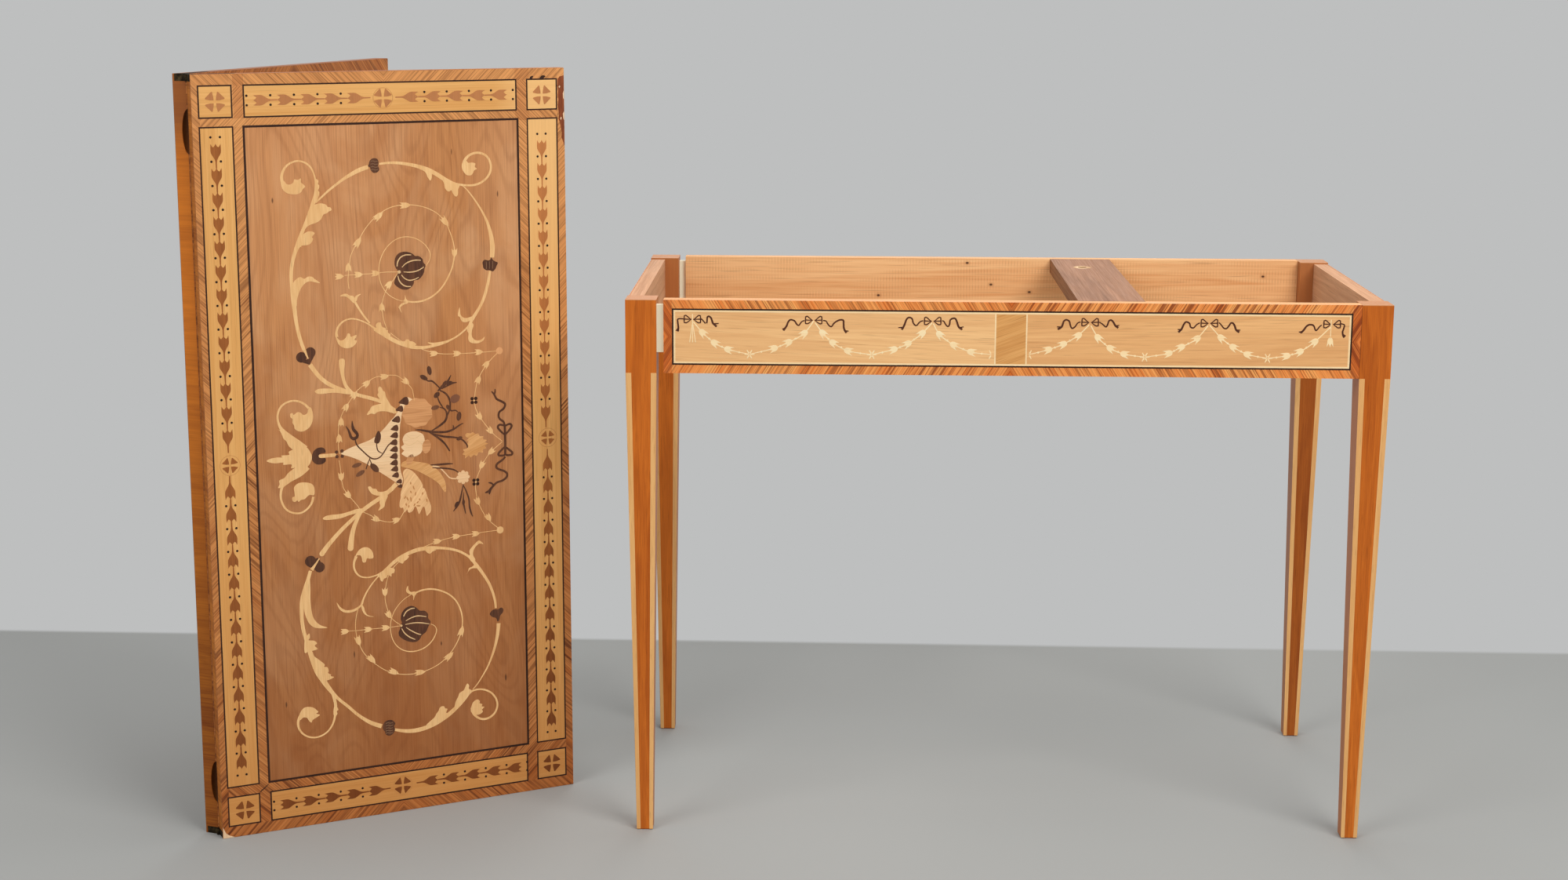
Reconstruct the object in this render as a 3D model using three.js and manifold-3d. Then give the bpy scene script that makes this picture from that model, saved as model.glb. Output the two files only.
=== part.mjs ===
// Neoclassical turn-and-fold games table, shown taken apart.
// The frame stands on four tapered legs, with its left end drawn out a little on its tenons.
// The two-leaf folding top is lifted off and stands on its end beside the frame, part open.
// Units are millimetres, X runs along the front rail, Y to the back and Z up.

import * as THREE from 'three';
import { mergeVertices } from 'three/addons/utils/BufferGeometryUtils.js';
import Module from 'manifold-3d';

const wasm = await Module();
wasm.setup();

// Frame
const frameLength = 976; // over the legs, with the joints closed
const frameDepth = 472; // over the legs, front to back
const frameHeight = 722; // floor to the top of the rails
const legThickness = 40; // square block at the head of a leg
const footThickness = 21.5; // square foot at the floor
const footEase = 1.5; // bevel round the foot
const railHeight = 95.5;
const railThickness = 20; // veneer included
const railReveal = 0.5; // step back from the face of the leg
const endRailDrop = 2; // end rails lie this far below the leg tops
const tenonThickness = 9;
const tenonLength = 22;
const tenonTopShoulder = 7; // frame top down to the tenon
const tenonHeight = 62;
const mortiseBottomRoom = 0.5; // empty space behind a seated tenon
const leftEndPull = 9; // how far the left end stands open

// Cross board that carries the pivot
const boardWidth = 86;
const boardThickness = 20;
const boardHousing = 3.5; // depth of the board's ends in the rails
const boardCentreFromMiddle = 130;
const bushBore = 6.4; // radius
const bushRadius = 9;
const bushFlangeRadius = 13;
const bushFlangeThickness = 2;

// Folding top
const leafLength = 1008;
const leafWidth = 500;
const leafThickness = 20.5;
const standFromFrame = 557; // hinge line to the left face of the closed frame
const standInFront = 28.5; // hinge line to the front face of the frame
const upperLeafAngle = THREE.MathUtils.degToRad(27.9); // from the front rail's direction
const lowerLeafAngle = THREE.MathUtils.degToRad(70.4);
const innerBorderWidth = 60; // crossbanded border round the baize
const baizeThickness = 0.7;

// Veneers and fits
const veneer = 1;
const seam = 0.3; // left between pieces that are glued, seated or housed
const overrun = 4; // how far a cutting solid runs past the face that it cuts

// Marquetry layout of the upper leaf
const crossbandHingeSide = 9; // outer crossbanding along the hinge edge
const crossbandFreeSide = 11; // outer crossbanding along the free edge
const crossbandLower = 16; // outer crossbanding along the end it stands on
const crossbandUpper = 14.5; // outer crossbanding along the upper end
const crossbandInner = 14; // between the bands and the field
const crossbandInnerUpper = 12; // between the upper end's band and the field
const bandWidth = 42; // long husk bands, and the width of the corner squares
const endBandWidth = 40; // end husk bands, and the height of the corner squares
const endBandInset = 1.5; // an end band stops this far inside the field's width

// Marquetry layout of the frame
const railBanding = 11;
const tabletWidth = 40;

// Corner hinges
const headLength = 9; // along the leaf's width
const headHeight = 9; // along the leaf's length
const headDepth = 17.5; // of the leaf's thickness, from the playing face
const knuckleRadius = 3.2;
const knuckleGap = 0.4; // between the two half-lapped knuckles
const pinRadius = 1.5;
const pinClearance = 0.06;
const strapLength = 60; // from the hinge line
const strapWidth = 12;
const strapThickness = 3;
const hingeScrewPlaces = [24, 48]; // from the hinge line

// Screws
const screwHeadRadius = 3.2;
const screwShankRadius = 1.6;
const screwHeadDepth = 2;
const screwLength = 14;
const screwPoint = 3;
const slotWidth = 0.8;
const slotDepth = 0.7;

// Hollows scooped out of the lower leaf's hinge edge
const hollowLength = 58;
const hollowWidth = 9.2; // across the edge, from the playing face
const hollowDepth = 9; // into the leaf
const hollowFromEnd = 73; // leaf end to the middle of a hollow

// Pivot under the lower leaf
const plateLength = 84;
const plateWidth = 52;
const plateThickness = 3.5;
const plateCorner = 8;
const plateScrewInset = 9;
const studRadius = 6;
const studFlangeRadius = 10;
const studFlangeThickness = 2;
const studTail = 5; // past the nut
const studPointEase = 1;
const washerRadius = 15;
const washerThickness = 2.5;
const nutAcross = 22;
const nutThickness = 10;
const nutEase = 1.5;

// Segment counts
const roundSteps = 24;
const smallRoundSteps = 12;
const hollowSteps = 20;

// Finishes: colour, roughness, metalness
const finishes = {
  mahogany: [0x9c5322, 0.45, 0],
  crossbanding: [0xb06a34, 0.4, 0],
  satinwood: [0xdfae6b, 0.4, 0],
  walnut: [0xa8713f, 0.4, 0],
  greyPanel: [0xc9a274, 0.45, 0],
  pine: [0xd9bd9a, 0.7, 0],
  oldBoard: [0x8c7257, 0.75, 0],
  brass: [0x6b5a35, 0.45, 1],
  iron: [0x4a4642, 0.6, 1],
  baize: [0x3f5b3a, 0.95, 0],
};

function finish(kind) {
  const [color, roughness, metalness] = finishes[kind];
  return new THREE.MeshStandardMaterial({ color, roughness, metalness });
}

// Solids for cutting and joining
function toSolid(geometry) {
  const bare = geometry.clone();
  bare.deleteAttribute('normal');
  bare.deleteAttribute('uv');
  const merged = mergeVertices(bare);
  return new wasm.Manifold(new wasm.Mesh({
    numProp: 3,
    vertProperties: new Float32Array(merged.attributes.position.array),
    triVerts: new Uint32Array(merged.index.array),
  }));
}

function toGeometry(solid) {
  const mesh = solid.getMesh();
  const geometry = new THREE.BufferGeometry();
  geometry.setAttribute('position', new THREE.BufferAttribute(mesh.vertProperties, 3));
  geometry.setIndex(new THREE.BufferAttribute(mesh.triVerts, 1));
  geometry.computeVertexNormals();
  return geometry;
}

function addPiece(group, name, shape, kind) {
  const geometry = shape.isBufferGeometry ? shape : toGeometry(shape);
  const mesh = new THREE.Mesh(geometry, finish(kind));
  mesh.name = name;
  group.add(mesh);
}

// A box between two values on each axis, given in either order
function block([xa, xb], [ya, yb], [za, zb]) {
  const box = new THREE.BoxGeometry(Math.abs(xb - xa), Math.abs(yb - ya), Math.abs(zb - za));
  box.translate((xa + xb) / 2, (ya + yb) / 2, (za + zb) / 2);
  return toSolid(box);
}

// A cylinder along Z between two heights
function disc(x, y, radius, [za, zb], steps = roundSteps) {
  const cylinder = new THREE.CylinderGeometry(radius, radius, Math.abs(zb - za), steps);
  cylinder.rotateX(Math.PI / 2);
  cylinder.translate(x, y, (za + zb) / 2);
  return toSolid(cylinder);
}

// A turned solid about Z from a closed profile of [radius, height] points
function turned(profile, steps = roundSteps) {
  const points = profile.map(([radius, height]) => new THREE.Vector2(radius, height));
  points.push(points[0].clone());
  const lathe = new THREE.LatheGeometry(points, steps);
  lathe.rotateX(Math.PI / 2);
  return toSolid(lathe);
}

// A flat sheet in the XZ plane between two depths on Y, with rectangular windows cut through it
function sheet(xs, zs, ys, windows = []) {
  let solid = block(xs, ys, zs);
  windows.forEach(([windowX, windowZ]) => {
    solid = solid.subtract(block(windowX, grow(ordered(ys), overrun), windowZ));
  });
  return solid;
}

const ordered = ([a, b]) => [Math.min(a, b), Math.max(a, b)];
const shrink = ([a, b], by) => [a + by, b - by];
const grow = ([a, b], by) => [a - by, b + by];

// Legs: a square block at the head, then an even taper to the foot
const blockBottom = frameHeight - railHeight;

function taperedLeg() {
  const levels = [
    [0, footThickness / 2 - footEase],
    [footEase, footThickness / 2],
    [blockBottom, legThickness / 2],
    [frameHeight, legThickness / 2],
  ];
  const positions = [];
  levels.forEach(([z, half]) => positions.push(-half, -half, z, half, -half, z, half, half, z, -half, half, z));
  const faces = [0, 2, 1, 0, 3, 2];
  for (let level = 0; level < levels.length - 1; level += 1) {
    for (let side = 0; side < 4; side += 1) {
      const a = level * 4 + side;
      const b = level * 4 + ((side + 1) % 4);
      faces.push(a, b, b + 4, a, b + 4, a + 4);
    }
  }
  const top = (levels.length - 1) * 4;
  faces.push(top, top + 1, top + 2, top, top + 2, top + 3);
  const geometry = new THREE.BufferGeometry();
  geometry.setAttribute('position', new THREE.Float32BufferAttribute(positions, 3));
  geometry.setIndex(faces);
  return toSolid(geometry);
}

const tenonTop = frameHeight - tenonTopShoulder;
const tenonBottom = tenonTop - tenonHeight;
const tenonCentreFromFace = railReveal + railThickness / 2; // from the leg's outer face

// inX and inY point from the leg to the middle of the frame
function mortisedLeg(inX, inY) {
  const half = legThickness / 2;
  const reach = [half - tenonLength - mortiseBottomRoom, half + overrun];
  const across = shrink([half - tenonCentreFromFace, half - tenonCentreFromFace], -(tenonThickness / 2 + seam));
  const heights = grow([tenonBottom, tenonTop], seam);
  const alongX = block(reach.map((v) => v * inX), across.map((v) => -v * inY), heights);
  const alongY = block(across.map((v) => -v * inX), reach.map((v) => v * inY), heights);
  return taperedLeg().subtract(alongX).subtract(alongY);
}

// A rail runs along its own X, with its veneered face towards -Y at y = 0.
// The crossbanding frames one window, which the panels fill side by side.
function addRail(group, name, { span, top, panels, housingAt }) {
  const half = span / 2 - seam;
  const heights = [blockBottom, top];
  const tenonReach = span / 2 + tenonLength;
  const tenonDepths = grow([railThickness / 2, railThickness / 2], tenonThickness / 2);
  let core = block([-half, half], [veneer + seam, railThickness], heights);
  core = core.add(block([-tenonReach, tenonReach], tenonDepths, [tenonBottom, tenonTop]));
  if (housingAt !== undefined) {
    const housingWidth = grow([housingAt, housingAt], boardWidth / 2 + seam);
    const housingDepth = [railThickness - boardHousing, railThickness + overrun];
    core = core.subtract(block(housingWidth, housingDepth, [top - boardThickness - seam, top + overrun]));
  }
  addPiece(group, `${name}_rail`, core, 'pine');
  const skin = [0, veneer];
  const windowX = shrink([-half, half], railBanding);
  const windowZ = shrink(heights, railBanding);
  addPiece(group, `${name}_crossbanding`, sheet([-half, half], heights, skin, [[windowX, windowZ]]), 'crossbanding');
  panels(windowX).forEach(([piece, xs, kind]) => {
    addPiece(group, piece, sheet(shrink(xs, seam), shrink(windowZ, seam), skin), kind);
  });
}

function placed(parent, x, y, turn = 0) {
  const group = new THREE.Group();
  group.position.set(x, y, 0);
  group.rotation.z = turn;
  parent.add(group);
  return group;
}

const table = new THREE.Group();
const frame = placed(table, 0, 0);
const leftEnd = placed(table, -leftEndPull, 0);

const legX = frameLength / 2 - legThickness / 2;
const legY = frameDepth / 2 - legThickness / 2;
addPiece(placed(frame, legX, -legY), 'front_right_leg', mortisedLeg(-1, 1), 'mahogany');
addPiece(placed(frame, legX, legY), 'rear_right_leg', mortisedLeg(-1, -1), 'mahogany');
addPiece(placed(leftEnd, -legX, -legY), 'front_left_leg', mortisedLeg(1, 1), 'mahogany');
addPiece(placed(leftEnd, -legX, legY), 'rear_left_leg', mortisedLeg(1, -1), 'mahogany');

// Rails and their veneers
const longSpan = frameLength - legThickness * 2;
const shortSpan = frameDepth - legThickness * 2;
const faceX = frameLength / 2 - railReveal;
const faceY = frameDepth / 2 - railReveal;
const endTop = frameHeight - endRailDrop;
const halfTablet = tabletWidth / 2;

addRail(placed(frame, 0, -faceY), 'front', {
  span: longSpan,
  top: frameHeight,
  housingAt: boardCentreFromMiddle,
  panels: ([left, right]) => [
    ['front_left_panel', [left, -halfTablet], 'greyPanel'],
    ['front_centre_tablet', [-halfTablet, halfTablet], 'crossbanding'],
    ['front_right_panel', [halfTablet, right], 'greyPanel'],
  ],
});
addRail(placed(frame, 0, faceY, Math.PI), 'rear', {
  span: longSpan,
  top: frameHeight,
  housingAt: -boardCentreFromMiddle,
  panels: (window) => [['rear_panel', window, 'greyPanel']],
});
addRail(placed(frame, faceX, 0, Math.PI / 2), 'right_end', {
  span: shortSpan,
  top: endTop,
  panels: (window) => [['right_end_panel', window, 'greyPanel']],
});
addRail(placed(leftEnd, -faceX, 0, -Math.PI / 2), 'left_end', {
  span: shortSpan,
  top: endTop,
  panels: (window) => [['left_end_panel', window, 'greyPanel']],
});

// Cross board, flush with the rails, and the bush that the pivot turns in
const pivotOffset = leafWidth / 4; // lets the turned and unfolded top sit centred on the frame
const boardReach = faceY - railThickness + boardHousing - seam;
const boardZ = [frameHeight - boardThickness, frameHeight];
const flangeZ = [frameHeight - bushFlangeThickness, frameHeight];
const board = block(grow([boardCentreFromMiddle, boardCentreFromMiddle], boardWidth / 2), [-boardReach, boardReach], boardZ)
  .subtract(disc(pivotOffset, pivotOffset, bushRadius + seam, grow(boardZ, overrun)))
  .subtract(disc(pivotOffset, pivotOffset, bushFlangeRadius + seam, [flangeZ[0] - seam, flangeZ[1] + overrun]));
addPiece(frame, 'pivot_board', board, 'oldBoard');
addPiece(placed(frame, pivotOffset, pivotOffset), 'pivot_bush', turned([
  [bushBore, boardZ[0]],
  [bushRadius, boardZ[0]],
  [bushRadius, flangeZ[0]],
  [bushFlangeRadius, flangeZ[0]],
  [bushFlangeRadius, flangeZ[1]],
  [bushBore, flangeZ[1]],
]), 'brass');

// A leaf lies in its own frame: X from the hinge line, Z along its length, standing on one end.
// side is -1 for the upper leaf and 1 for the lower, and depth counts from the playing face.
const depths = (side, from, to) => [side * (from + seam), side * (to + seam)];
const wholeLeaf = [0, leafLength];
const leafX = [seam, leafWidth];

// Corner hinge: a head let into the corner, a strap along the end, and a half-lapped knuckle.
// end is 0 at the floor and 1 at the top, and outer puts the knuckle next to the leaf's end.
const fromEnd = (end, distance) => (end === 0 ? distance : leafLength - distance);
const levelHeight = (headHeight - knuckleGap) / 2;

function knuckleZ(end, outer) {
  const from = outer ? 0 : headHeight - levelHeight;
  return [fromEnd(end, from), fromEnd(end, from + levelHeight)];
}

function countersink(x, y, end, clearance) {
  const profile = [
    [0, -overrun],
    [screwHeadRadius + clearance, -overrun],
    [screwHeadRadius + clearance, clearance],
    [screwShankRadius + clearance, screwHeadDepth + clearance],
    [screwShankRadius + clearance, screwLength + clearance],
    [0, screwLength + clearance],
  ];
  const hole = turned(profile, smallRoundSteps).translate([x, y, 0]);
  return end === 0 ? hole : hole.mirror([0, 0, 1]).translate([0, 0, leafLength]);
}

const strapMiddle = headDepth / 2; // the strap runs along the middle of the head

function hingeHalf(side, end, outer) {
  const relief = outer ? [levelHeight, headHeight + overrun] : [-overrun, headHeight - levelHeight];
  const through = [-overrun, headHeight + overrun];
  const strapY = side * (strapMiddle + seam);
  const strapEnd = strapLength - strapWidth / 2;
  const strapZ = [fromEnd(end, 0), fromEnd(end, strapThickness)];
  let half = block([seam, headLength], depths(side, 0, headDepth), [fromEnd(end, 0), fromEnd(end, headHeight)]);
  half = half.add(disc(0, 0, knuckleRadius, knuckleZ(end, outer)));
  half = half.add(block([seam, strapEnd], grow([strapY, strapY], strapWidth / 2), strapZ));
  half = half.add(disc(strapEnd, strapY, strapWidth / 2, strapZ));
  half = half.subtract(disc(0, 0, knuckleRadius + seam, relief.map((z) => fromEnd(end, z))));
  half = half.subtract(disc(0, 0, pinRadius + pinClearance, through.map((z) => fromEnd(end, z))));
  hingeScrewPlaces.forEach((x) => {
    half = half.subtract(countersink(x, strapY, end, seam));
  });
  return half;
}

// Everything that a hinge half takes out of the leaf's panel
function hingeRecess(side, end) {
  const strapY = side * (strapMiddle + seam);
  const strapEnd = strapLength - strapWidth / 2;
  const strapZ = [fromEnd(end, -overrun), fromEnd(end, strapThickness + seam)];
  let recess = headNotch(side, end);
  recess = recess.add(block([seam, strapEnd], grow([strapY, strapY], strapWidth / 2 + seam), strapZ));
  recess = recess.add(disc(strapEnd, strapY, strapWidth / 2 + seam, strapZ));
  hingeScrewPlaces.forEach((x) => {
    recess = recess.add(countersink(x, strapY, end, seam));
  });
  return recess;
}

function headNotch(side, end) {
  const reach = [side * -overrun, side * (headDepth + seam * 2)];
  return block([-overrun, headLength + seam], reach, [fromEnd(end, -overrun), fromEnd(end, headHeight + seam)]);
}

function addHingeScrews(group, side, end, name) {
  hingeScrewPlaces.forEach((x, index) => {
    const screw = screwSolid().translate([x, side * (strapMiddle + seam), 0]);
    const turnedOver = end === 0 ? screw : screw.mirror([0, 0, 1]).translate([0, 0, leafLength]);
    addPiece(group, `${name}_screw_${index + 1}`, turnedOver, 'brass');
  });
}

// A countersunk wood screw with its head at z = 0 and its point towards +Z
function screwSolid() {
  const profile = [
    [0, 0],
    [screwHeadRadius, 0],
    [screwShankRadius, screwHeadDepth],
    [screwShankRadius, screwLength - screwPoint],
    [0, screwLength],
  ];
  const slot = block([-screwHeadRadius - overrun, screwHeadRadius + overrun], [-slotWidth / 2, slotWidth / 2],
    [-overrun, slotDepth]);
  return turned(profile, smallRoundSteps).subtract(slot);
}

// Upper leaf: panel, marquetry on its show face, and the border and baize on its playing face
const hingeX = -frameLength / 2 - standFromFrame;
const hingeY = -frameDepth / 2 - standInFront;
const upperLeaf = placed(table, hingeX, hingeY, upperLeafAngle);
const lowerLeaf = placed(table, hingeX, hingeY, lowerLeafAngle);
const faceLayer = veneer + seam; // a veneer and its glue line

const panelZ = wholeLeaf;
let upperPanel = block(leafX, depths(-1, faceLayer, leafThickness - faceLayer), panelZ);
[0, 1].forEach((end) => {
  upperPanel = upperPanel.subtract(hingeRecess(-1, end));
});
addPiece(upperLeaf, 'upper_leaf_panel', upperPanel, 'pine');

// The show face lies in veneers that meet edge to edge, a seam apart
const skinZ = shrink(wholeLeaf, seam);
const showSkin = depths(-1, leafThickness - veneer, leafThickness);
const hingeBandX = [crossbandHingeSide, crossbandHingeSide + bandWidth];
const freeBandX = [leafWidth - crossbandFreeSide - bandWidth, leafWidth - crossbandFreeSide];
const lowBandZ = [crossbandLower, crossbandLower + endBandWidth];
const highBandZ = [leafLength - crossbandUpper - endBandWidth, leafLength - crossbandUpper];
const fieldX = [hingeBandX[1] + crossbandInner, freeBandX[0] - crossbandInner];
const fieldZ = [lowBandZ[1] + crossbandInner, highBandZ[0] - crossbandInnerUpper];
const endBandX = shrink(fieldX, endBandInset);
const inlays = [
  ['marquetry_field', fieldX, fieldZ, 'walnut'],
  ['hinge_side_husk_band', hingeBandX, fieldZ, 'satinwood'],
  ['free_side_husk_band', freeBandX, fieldZ, 'satinwood'],
  ['lower_end_husk_band', endBandX, lowBandZ, 'satinwood'],
  ['upper_end_husk_band', endBandX, highBandZ, 'satinwood'],
  ['lower_hinge_corner_square', hingeBandX, lowBandZ, 'satinwood'],
  ['lower_free_corner_square', freeBandX, lowBandZ, 'satinwood'],
  ['upper_hinge_corner_square', hingeBandX, highBandZ, 'satinwood'],
  ['upper_free_corner_square', freeBandX, highBandZ, 'satinwood'],
];
addPiece(upperLeaf, 'show_face_crossbanding',
  sheet(leafX, skinZ, showSkin, inlays.map(([, xs, zs]) => [xs, zs])), 'crossbanding');
inlays.forEach(([name, xs, zs, kind]) => {
  addPiece(upperLeaf, name, sheet(shrink(xs, seam), shrink(zs, seam), showSkin), kind);
});

// Playing face of either leaf: a crossbanded border round a baize
function addPlayingFace(group, side, name, cuts) {
  const insideX = shrink([0, leafWidth], innerBorderWidth);
  const insideZ = shrink(wholeLeaf, innerBorderWidth);
  let border = sheet(leafX, skinZ, depths(side, 0, veneer), [[insideX, insideZ]]);
  cuts.forEach((cut) => {
    border = border.subtract(cut);
  });
  addPiece(group, `${name}_playing_border`, border, 'crossbanding');
  const baize = sheet(shrink(insideX, seam), shrink(insideZ, seam), depths(side, veneer - baizeThickness, veneer));
  addPiece(group, `${name}_baize`, baize, 'baize');
}

addPlayingFace(upperLeaf, -1, 'upper_leaf', [headNotch(-1, 0), headNotch(-1, 1)]);

// Half-moon hollow scooped out of the hinge edge, open at the playing face
function hollow(end) {
  const ball = new THREE.SphereGeometry(1, roundSteps, hollowSteps);
  ball.scale(hollowDepth, hollowWidth, hollowLength / 2);
  ball.translate(seam, seam, fromEnd(end, hollowFromEnd));
  return toSolid(ball);
}

// Lower leaf, with its plain underside let in for the pivot plate
const pivotX = leafWidth / 2 - pivotOffset;
const pivotZ = leafLength / 2 + pivotOffset;
const underside = leafThickness + seam;

// A solid turned about Z is laid with its axis out of the underside, its zero on the underside
function onUnderside(solid) {
  return solid.rotate([-90, 0, 0]).translate([pivotX, underside, pivotZ]);
}

function platePlan(clearance, [za, zb]) {
  const outline = new THREE.Shape();
  const x = plateWidth / 2 + clearance;
  const y = plateLength / 2 + clearance;
  const r = plateCorner + clearance;
  outline.absarc(x - r, y - r, r, 0, Math.PI / 2);
  outline.absarc(-x + r, y - r, r, Math.PI / 2, Math.PI);
  outline.absarc(-x + r, -y + r, r, Math.PI, Math.PI * 1.5);
  outline.absarc(x - r, -y + r, r, Math.PI * 1.5, Math.PI * 2);
  const plate = new THREE.ExtrudeGeometry(outline, { depth: zb - za, bevelEnabled: false, curveSegments: 5 });
  plate.translate(0, 0, za);
  return toSolid(plate);
}

const plateScrewX = plateWidth / 2 - plateScrewInset;
const plateScrewY = plateLength / 2 - plateScrewInset;
const plateScrews = [[-1, -1], [1, -1], [1, 1], [-1, 1]].map(([sx, sy]) => [sx * plateScrewX, sy * plateScrewY]);
const plateBack = -plateThickness;
const flangeBack = plateBack - studFlangeThickness - seam;

const intoUnderside = (solid) => solid.mirror([0, 0, 1]); // head at zero, point into the leaf

function plateCountersink([x, y]) {
  return intoUnderside(countersink(x, y, 0, seam));
}

let lowerPanel = block(leafX, depths(1, faceLayer, leafThickness), panelZ);
[0, 1].forEach((end) => {
  lowerPanel = lowerPanel.subtract(hingeRecess(1, end)).subtract(hollow(end));
});
let plateRecess = platePlan(seam, [plateBack - seam, overrun]);
plateRecess = plateRecess.add(disc(0, 0, studFlangeRadius + seam, [flangeBack - seam, overrun]));
plateScrews.forEach((place) => {
  plateRecess = plateRecess.add(plateCountersink(place));
});
lowerPanel = lowerPanel.subtract(onUnderside(plateRecess));
addPiece(lowerLeaf, 'lower_leaf_panel', lowerPanel, 'oldBoard');
addPlayingFace(lowerLeaf, 1, 'lower_leaf', [headNotch(1, 0), headNotch(1, 1), hollow(0), hollow(1)]);

// Pivot: plate, stud, and the washer and nut kept on the stud
let plate = platePlan(0, [plateBack, 0]);
plate = plate.subtract(disc(0, 0, studRadius + seam, [plateBack - overrun, overrun]));
plateScrews.forEach((place) => {
  plate = plate.subtract(plateCountersink(place));
});
addPiece(lowerLeaf, 'pivot_plate', onUnderside(plate), 'iron');
plateScrews.forEach(([x, y], index) => {
  const screw = onUnderside(intoUnderside(screwSolid()).translate([x, y, 0]));
  addPiece(lowerLeaf, `plate_screw_${index + 1}`, screw, 'iron');
});

const washerZ = [boardThickness + seam, boardThickness + seam + washerThickness];
const nutZ = [washerZ[1] + seam, washerZ[1] + seam + nutThickness];
const studEnd = nutZ[1] + studTail;
addPiece(lowerLeaf, 'pivot_stud', onUnderside(turned([
  [0, flangeBack],
  [studFlangeRadius, flangeBack],
  [studFlangeRadius, flangeBack + studFlangeThickness],
  [studRadius, flangeBack + studFlangeThickness],
  [studRadius, studEnd - studPointEase],
  [studRadius - studPointEase, studEnd],
  [0, studEnd],
])), 'iron');
addPiece(lowerLeaf, 'pivot_washer', onUnderside(turned([
  [studRadius + seam, washerZ[0]],
  [washerRadius, washerZ[0]],
  [washerRadius, washerZ[1]],
  [studRadius + seam, washerZ[1]],
])), 'iron');
const nutRound = turned([
  [0, nutZ[0]],
  [nutAcross / Math.SQRT2, nutZ[0]],
  [nutAcross / Math.SQRT2, nutZ[1] - nutEase],
  [nutAcross / 2, nutZ[1]],
  [0, nutZ[1]],
]);
const nut = block([-nutAcross / 2, nutAcross / 2], [-nutAcross / 2, nutAcross / 2], nutZ)
  .intersect(nutRound)
  .subtract(disc(0, 0, studRadius + seam, grow(nutZ, overrun)));
addPiece(lowerLeaf, 'pivot_nut', onUnderside(nut), 'iron');

// Hinges: the upper leaf's knuckle is next to the leaf's end, the lower leaf's under it
['lower', 'upper'].forEach((place, end) => {
  addPiece(upperLeaf, `${place}_hinge_upper_leaf_half`, hingeHalf(-1, end, true), 'brass');
  addPiece(lowerLeaf, `${place}_hinge_lower_leaf_half`, hingeHalf(1, end, false), 'brass');
  const pinZ = [fromEnd(end, 0), fromEnd(end, headHeight)];
  addPiece(lowerLeaf, `${place}_hinge_pin`, disc(0, 0, pinRadius, pinZ), 'brass');
  addHingeScrews(upperLeaf, -1, end, `${place}_hinge_upper_leaf`);
  addHingeScrews(lowerLeaf, 1, end, `${place}_hinge_lower_leaf`);
});

// The origin is on the floor under the middle of the whole arrangement
table.updateMatrixWorld(true);
const bounds = new THREE.Box3().setFromObject(table, true);
const middle = bounds.getCenter(new THREE.Vector3());
table.position.set(-middle.x, -middle.y, 0);
table.updateMatrixWorld(true);

export default table;
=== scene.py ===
import math

import bpy
from mathutils import Matrix, Vector


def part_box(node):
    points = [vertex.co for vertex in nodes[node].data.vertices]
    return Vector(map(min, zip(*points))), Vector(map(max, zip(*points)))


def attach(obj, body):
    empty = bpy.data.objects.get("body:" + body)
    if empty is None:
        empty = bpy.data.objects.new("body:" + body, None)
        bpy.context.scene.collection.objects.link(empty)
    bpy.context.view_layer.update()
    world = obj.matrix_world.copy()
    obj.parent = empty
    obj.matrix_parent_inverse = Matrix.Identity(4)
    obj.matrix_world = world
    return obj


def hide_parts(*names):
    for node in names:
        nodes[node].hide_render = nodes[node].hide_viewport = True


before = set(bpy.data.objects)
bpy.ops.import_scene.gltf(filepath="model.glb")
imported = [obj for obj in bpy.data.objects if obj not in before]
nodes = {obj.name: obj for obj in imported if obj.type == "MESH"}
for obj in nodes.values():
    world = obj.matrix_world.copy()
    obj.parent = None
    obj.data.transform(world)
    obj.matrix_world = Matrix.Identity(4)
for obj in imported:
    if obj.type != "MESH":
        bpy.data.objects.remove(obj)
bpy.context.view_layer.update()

# THE VIEW AND THE LIGHT
# The camera stands where the photographer stood, a little over 3 m in front of the
# frame and above it. Two large soft lamps in front, two weaker ones above and behind,
# and a pale sky light a plain pale floor.
bpy.context.scene.view_settings.view_transform = "Standard"

lens_in_pixels, image_width = 3087.46, 2000
sensor_width = 36
heading, pitch, roll = -0.02332, 0.19919, 0.0044
bpy.ops.object.select_all(action="DESELECT")
bpy.ops.object.camera_add(location=(0.068757, -3.296339, 1.16228),
                          rotation=(math.pi / 2 - pitch, 0, -heading))
camera = bpy.context.object
camera.matrix_world = camera.matrix_world @ Matrix.Rotation(roll, 4, "Z")
camera.data.sensor_width = sensor_width
camera.data.lens = lens_in_pixels * sensor_width / image_width
bpy.context.scene.camera = camera


def colour(red, green, blue):
    """A colour as the eye reads it, 0 to 255, in the units of a shader."""
    levels = [level / 255 for level in (red, green, blue)]
    return [v / 12.92 if v <= 0.04045 else ((v + 0.055) / 1.055) ** 2.4 for v in levels] + [1]


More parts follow.
